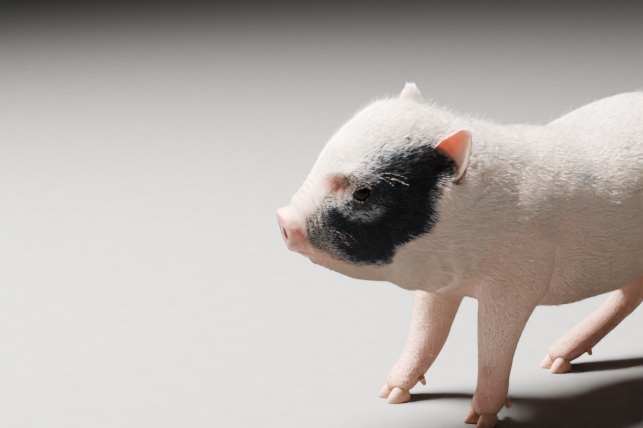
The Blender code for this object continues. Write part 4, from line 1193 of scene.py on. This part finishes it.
def eyeFinish():
    wet = {"Coat Weight": 0.22, "Coat Roughness": 0.02, "Coat IOR": 1.28}
    f = Finish("pigEye", {"Roughness": 0.3, **wet, "Specular IOR Level": 0.04})
    gaze = f.read("gaze", "Vector")
    x, y = (f.node("ShaderNodeSeparateXYZ", None, {"Vector": gaze}, k) for k in ("Y", "Z"))
    radius = (x * x + y * y) ** 0.5
    pupil = ((x / eye["pupilWide"]) ** 2.0 + (y / eye["pupilHigh"]) ** 2.0) ** 0.5
    angle = f.node("ShaderNodeMath", {"operation": "ARCTAN2"}, {0: y, 1: x})
    where = f.node("ShaderNodeCombineXYZ", None, {"X": angle * 9.0, "Y": radius * 260.0})
    fibre = f.node("ShaderNodeTexNoise", None, {"Vector": where, "Scale": 1.6, "Detail": 4.0}, "Fac")
    veins = f.noise(520.0, 4.0)
    iris = f.mix(fibre.between(0.35, 0.7), (0.006, 0.0035, 0.0025), (0.024, 0.012, 0.007))
    iris = f.mix((radius / eye["iris"]).between(0.80, 1.0), iris, (0.008, 0.006, 0.006))
    white = f.mix(veins.between(0.45, 0.75), (0.12, 0.09, 0.08), (0.08, 0.035, 0.03))
    white = f.mix((radius / eye["iris"]).between(1.0, 1.40), (0.010, 0.008, 0.008), white)
    colour = f.mix((radius / eye["iris"]).between(0.97, 1.03), iris, white)
    colour = f.mix(pupil.between(1.06, 0.94), colour, (0.002, 0.002, 0.003))
    return f.feed(colour)


def eyeBall(side, material):
    made = bmesh.new()
    rings, around, radius = eye["rings"], eye["round"], build["eyeRadius"] - 0.00005
    rows = []
    for j in range(1, rings):
        polar = math.pi * (j / rings) ** 1.15
        out = radius * math.sin(polar)
        bulge = eye["corneaBulge"] * math.exp(-((out / 0.0050) ** 4)) if polar < 1.3 else 0.0
        ahead = (radius + bulge) * math.cos(polar)
        angles = [2 * math.pi * i / around for i in range(around)]
        rows.append([made.verts.new((ahead, out * math.cos(a), out * math.sin(a))) for a in angles])
    front, back = (made.verts.new((x, 0, 0)) for x in (radius + eye["corneaBulge"], -radius))
    for low, high in zip(rows, rows[1:]):
        for i in range(around):
            made.faces.new((low[i - 1], low[i], high[i], high[i - 1]))
    for i in range(around):
        made.faces.new((front, rows[0][i], rows[0][i - 1]))
        made.faces.new((back, rows[-1][i - 1], rows[-1][i]))
    bmesh.ops.recalc_face_normals(made, faces=made.faces)
    mesh = meshOf(made, "eyeball_" + side)
    put(mesh, "gaze", arrayOf(mesh.vertices, "co", 3), "FLOAT_VECTOR")
    mesh.transform(eyeFrame(side))
    mesh.shade_smooth()
    mesh.materials.append(material)
    ball = linked("eyeball_" + side, mesh)
    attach(ball, "root")
    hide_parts("eye_" + side)


# lashes stand on the edges of the lids, brow hairs above them, and whiskers on brow, cheek and chin
lash = {
    "upper": 24,
    "lower": 8,
    "length": 0.0045,
    "width": 0.000026,
    "brow": 130,
    "browLength": 0.0066,
    "rounds": 5,
}


# one mesh of bent hairs, each from its root, way, droop, length and width
def hairTubes(name, roots):
    made = bmesh.new()
    marks = []
    rounds = lash["rounds"]
    for root, way, droop, length, width in roots:
        way = way.normalized()
        sideways = way.cross(Vector((0.2, 0.1, 1))).normalized()
        over = sideways.cross(way)
        rows = []
        for k in range(rounds):
            t = k / rounds
            middle = root + way * (length * t) + droop * (length * t * t)
            thick = width / 2 * (1 - 0.8 * t)
            rows.append([made.verts.new(middle + (sideways * y + over * z) * thick) for y, z in thirds])
        closeHair(made, rows, made.verts.new(root + way * length + droop * length))
        marks.extend([k // 3 / rounds for k in range(3 * rounds)] + [1.0])
    made.verts.index_update()
    bmesh.ops.recalc_face_normals(made, faces=made.faces)
    mesh = meshOf(made, name)
    put(mesh, "along", marks)
    put(mesh, "black", np.zeros(len(marks)))
    put(mesh, "tone", np.full(len(marks), 0.3))
    mesh.materials.append(hairMaterial)
    piece = linked(name, mesh)
    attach(piece, "root")


whisker = {
    "width": 0.00005,
    "droop": -0.30,
    "places": (
        (0.0570, 0.0245, 0.022), (0.0530, 0.0225, 0.027), (0.0495, 0.0200, 0.024), (0.0590, 0.0270, 0.017),
        (0.0470, 0.0180, 0.019), (0.0950, -0.0060, 0.015), (0.0920, -0.0030, 0.018),
        (0.0890, -0.0080, 0.019), (0.0870, -0.0120, 0.015), (0.0930, -0.0130, 0.012),
        (0.0820, -0.0090, 0.014), (0.0990, -0.0190, 0.008), (0.0930, -0.0270, 0.009),
        (0.0860, -0.0330, 0.010), (0.0800, -0.0370, 0.010), (0.0700, -0.0420, 0.009),
    ),
}


def whiskers(random):
    points, normals, _ = surface(skin.data)
    ahead, side, rise = headPlaces(points)
    turn = headFrame().to_3x3()
    roots = []
    for sign in (-1, 1):
        for a, r, length in whisker["places"]:
            miss = np.hypot(ahead - a, rise - r) + 1.0 * (side * sign < 0.004)
            at = int(np.argmin(miss))
            way = turn @ Vector((1.0, sign * 0.25 + 0.12 * random.normal(), -0.30 + 0.16 * random.normal()))
            way += Vector(normals[at]) * 0.85
            droop = Vector((0, 0, whisker["droop"]))
            length *= random.uniform(0.85, 1.1)
            roots.append((Vector(points[at]), way, droop, length, whisker["width"]))
    return roots


# pale hairs that hang from the brow over the upper lid, towards the ear
def browHairs(side, random):
    points, normals, _ = surface(skin.data)
    local, _, inFront = eyeRings(points, side)
    back = headFrame().to_3x3() @ Vector((0.75, 0.12 * sides[side], -0.75))
    roots = []
    for _ in range(lash["brow"]):
        angle = math.pi * random.uniform(0.12, 0.92)
        reach = random.uniform(1.25, 2.5)
        y, z = reach * build["openWidth"] * math.cos(angle), reach * build["openHeight"] * math.sin(angle)
        at = int(np.argmin(np.hypot(local[:, 1] - y, local[:, 2] - z) + (inFront < 0.5)))
        way = back + Vector(normals[at]) * 0.42 + Vector(random.normal(size=3)) * 0.13
        length = lash["browLength"] * random.uniform(0.6, 1.15)
        roots.append((Vector(points[at]), way, Vector((0, 0, -0.12)), length, 1.7 * lash["width"]))
    return roots


def lashes():
    random = np.random.default_rng(5)
    roots = whiskers(random)
    for side in sides:
        eyes = eyeFrame(side)
        turn = eyes.to_3x3()
        edges = {1: build["openHeight"] - folds["upperLid"], -1: build["openHeight"] - folds["lowerLid"]}
        for upper, count in ((1, lash["upper"]), (-1, lash["lower"])):
            for k in range(count):
                t = (k + random.uniform(0.2, 0.8)) / count
                angle = math.pi * (0.08 + 0.84 * t)
                y = build["openWidth"] * (1 - folds["lidCorner"]) * math.cos(angle)
                z = upper * edges[upper] * 1.06 * math.sin(angle)
                x = math.sqrt((build["eyeRadius"] + 0.0017) ** 2 - y * y - z * z)
                out = 0.75 * math.cos(angle) + random.normal() * 0.12
                way = Vector((0.75, out, upper * (0.30 + 0.25 * random.random())))
                droop = turn @ Vector((-0.1, -0.1, -0.45 * upper if upper > 0 else -0.1))
                length = lash["length"] * (1.0 if upper > 0 else 0.6) * random.uniform(0.7, 1.15)
                roots.append((eyes @ Vector((x, y, z)), turn @ way, droop, length, lash["width"]))
        roots.extend(browHairs(side, random))
    hairTubes("lashes", roots)


eyeMaterial = eyeFinish()
for which in sides:
    eyeBall(which, eyeMaterial)
lashes()
print("eyes and lashes made")

hoof = {
    "voxel": 0.00042,
    "dewShare": 0.6,
    "rounds": 9,
    "ridge": 0.000035,
    "pitch": 0.0017,
    "sunk": 0.00006,
}


def hoofFinish():
    f = Finish("hoofHorn", {"Specular IOR Level": 0.45})
    height = f.read("rise")
    bands = f.noise(1.0, 3.0, (120.0, 120.0, 1300.0))
    grain = f.noise(1.0, 3.0, (1600.0, 1600.0, 160.0))
    stain = f.noise(150.0, 4.0)
    colour = f.mix(bands.between(0.35, 0.7), (0.47, 0.19, 0.12), (0.58, 0.31, 0.21))
    colour = f.mix(grain.between(0.45, 0.75) * 0.5, colour, (0.30, 0.13, 0.08))
    colour = f.mix(height.between(0.74, 1.0) * 0.8, colour, (0.66, 0.29, 0.21))
    colour = f.mix(stain.between(0.5, 0.72) * height.between(0.75, 0.05), colour, (0.13, 0.085, 0.055))
    rough = 0.42 + 0.25 * stain
    return f.feed(colour, rough, bands * 0.4 + grain * 0.6, 0.00018, 0.4)


def makeHooves():
    material = hoofFinish()
    for name in sorted(n for n in nodes if "claw" in n):
        mesh = fused(mergedMesh(name), hoof["voxel"] * (hoof["dewShare"] if name.startswith("dew") else 1.0))
        points, _, edges = surface(mesh)
        floor = points[:, 2].min()
        points = relax(points, edges, np.full(len(points), 0.45), hoof["rounds"])
        moved(mesh, points)
        normals = surface(mesh)[1]
        ring = np.sin(2 * math.pi * (points[:, 2] + 0.0003 * wobble(points, 0.008, 2)) / hoof["pitch"])
        ring *= np.abs(normals[:, 2]) < 0.75
        points += normals * (hoof["ridge"] * ring - hoof["sunk"])[:, None]
        points[:, 2] = np.maximum(points[:, 2], floor)
        moved(mesh, points)
        high = points[:, 2].max()
        put(mesh, "rise", (points[:, 2] - floor) / (high - floor))
        mesh.shade_smooth()
        mesh.materials.append(material)
        made = linked(name.replace("claw", "hoof"), mesh)
        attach(made, "root")
        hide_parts(name)
    print("hooves made")


makeHooves()

skin.data.materials.clear()
skin.data.materials.append(skinMaterial)
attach(skin, "root")
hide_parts(*fleshNames)

studio = {
    "key": {"from": (-0.35, 0.55, 1.10), "size": 0.7, "power": 385.0, "colour": (1.0, 0.975, 0.94)},
    "fill": {"from": (-0.95, -1.05, 0.75), "size": 0.6, "power": 1.4, "colour": (1.0, 0.97, 0.94)},
    "side": {"from": (1.1, -0.6, 0.7), "size": 1.2, "power": 0.9, "colour": (0.96, 0.98, 1.0)},
    "air": (0.88, 0.90, 0.92),
    "airStrength": 0.055,
}


def lightStudio():
    world = bpy.data.worlds.new("studioAir")
    world.use_nodes = True
    background = next(n for n in world.node_tree.nodes if n.type == "BACKGROUND")
    background.inputs["Color"].default_value = (*studio["air"], 1.0)
    background.inputs["Strength"].default_value = studio["airStrength"]
    bpy.context.scene.world = world
    aim = Vector((-0.05, 0.0, 0.12))
    for name in ("key", "fill", "side"):
        row = studio[name]
        data = bpy.data.lights.new(name, "AREA")
        data.shape, data.size, data.energy, data.color = "DISK", row["size"], row["power"], row["colour"]
        lamp = bpy.data.objects.new(name, data)
        lamp.location = aim + Vector(row["from"])
        lamp.rotation_euler = Vector(row["from"]).to_track_quat("Z", "Y").to_euler()
        bpy.context.scene.collection.objects.link(lamp)


def layFloor():
    made = bmesh.new()
    bmesh.ops.create_grid(made, x_segments=2, y_segments=2, size=6.0)
    mesh = meshOf(made, "studioFloor")
    f = Finish("floorPaper", {"Roughness": 0.85})
    grain = f.noise(55.0, 4.0)
    f.feed(f.mix(grain.between(0.3, 0.7), (0.112, 0.110, 0.106), (0.126, 0.124, 0.120)))
    mesh.materials.append(f.material)
    linked("studioFloor", mesh)


lightStudio()
layFloor()
print("studio ready")
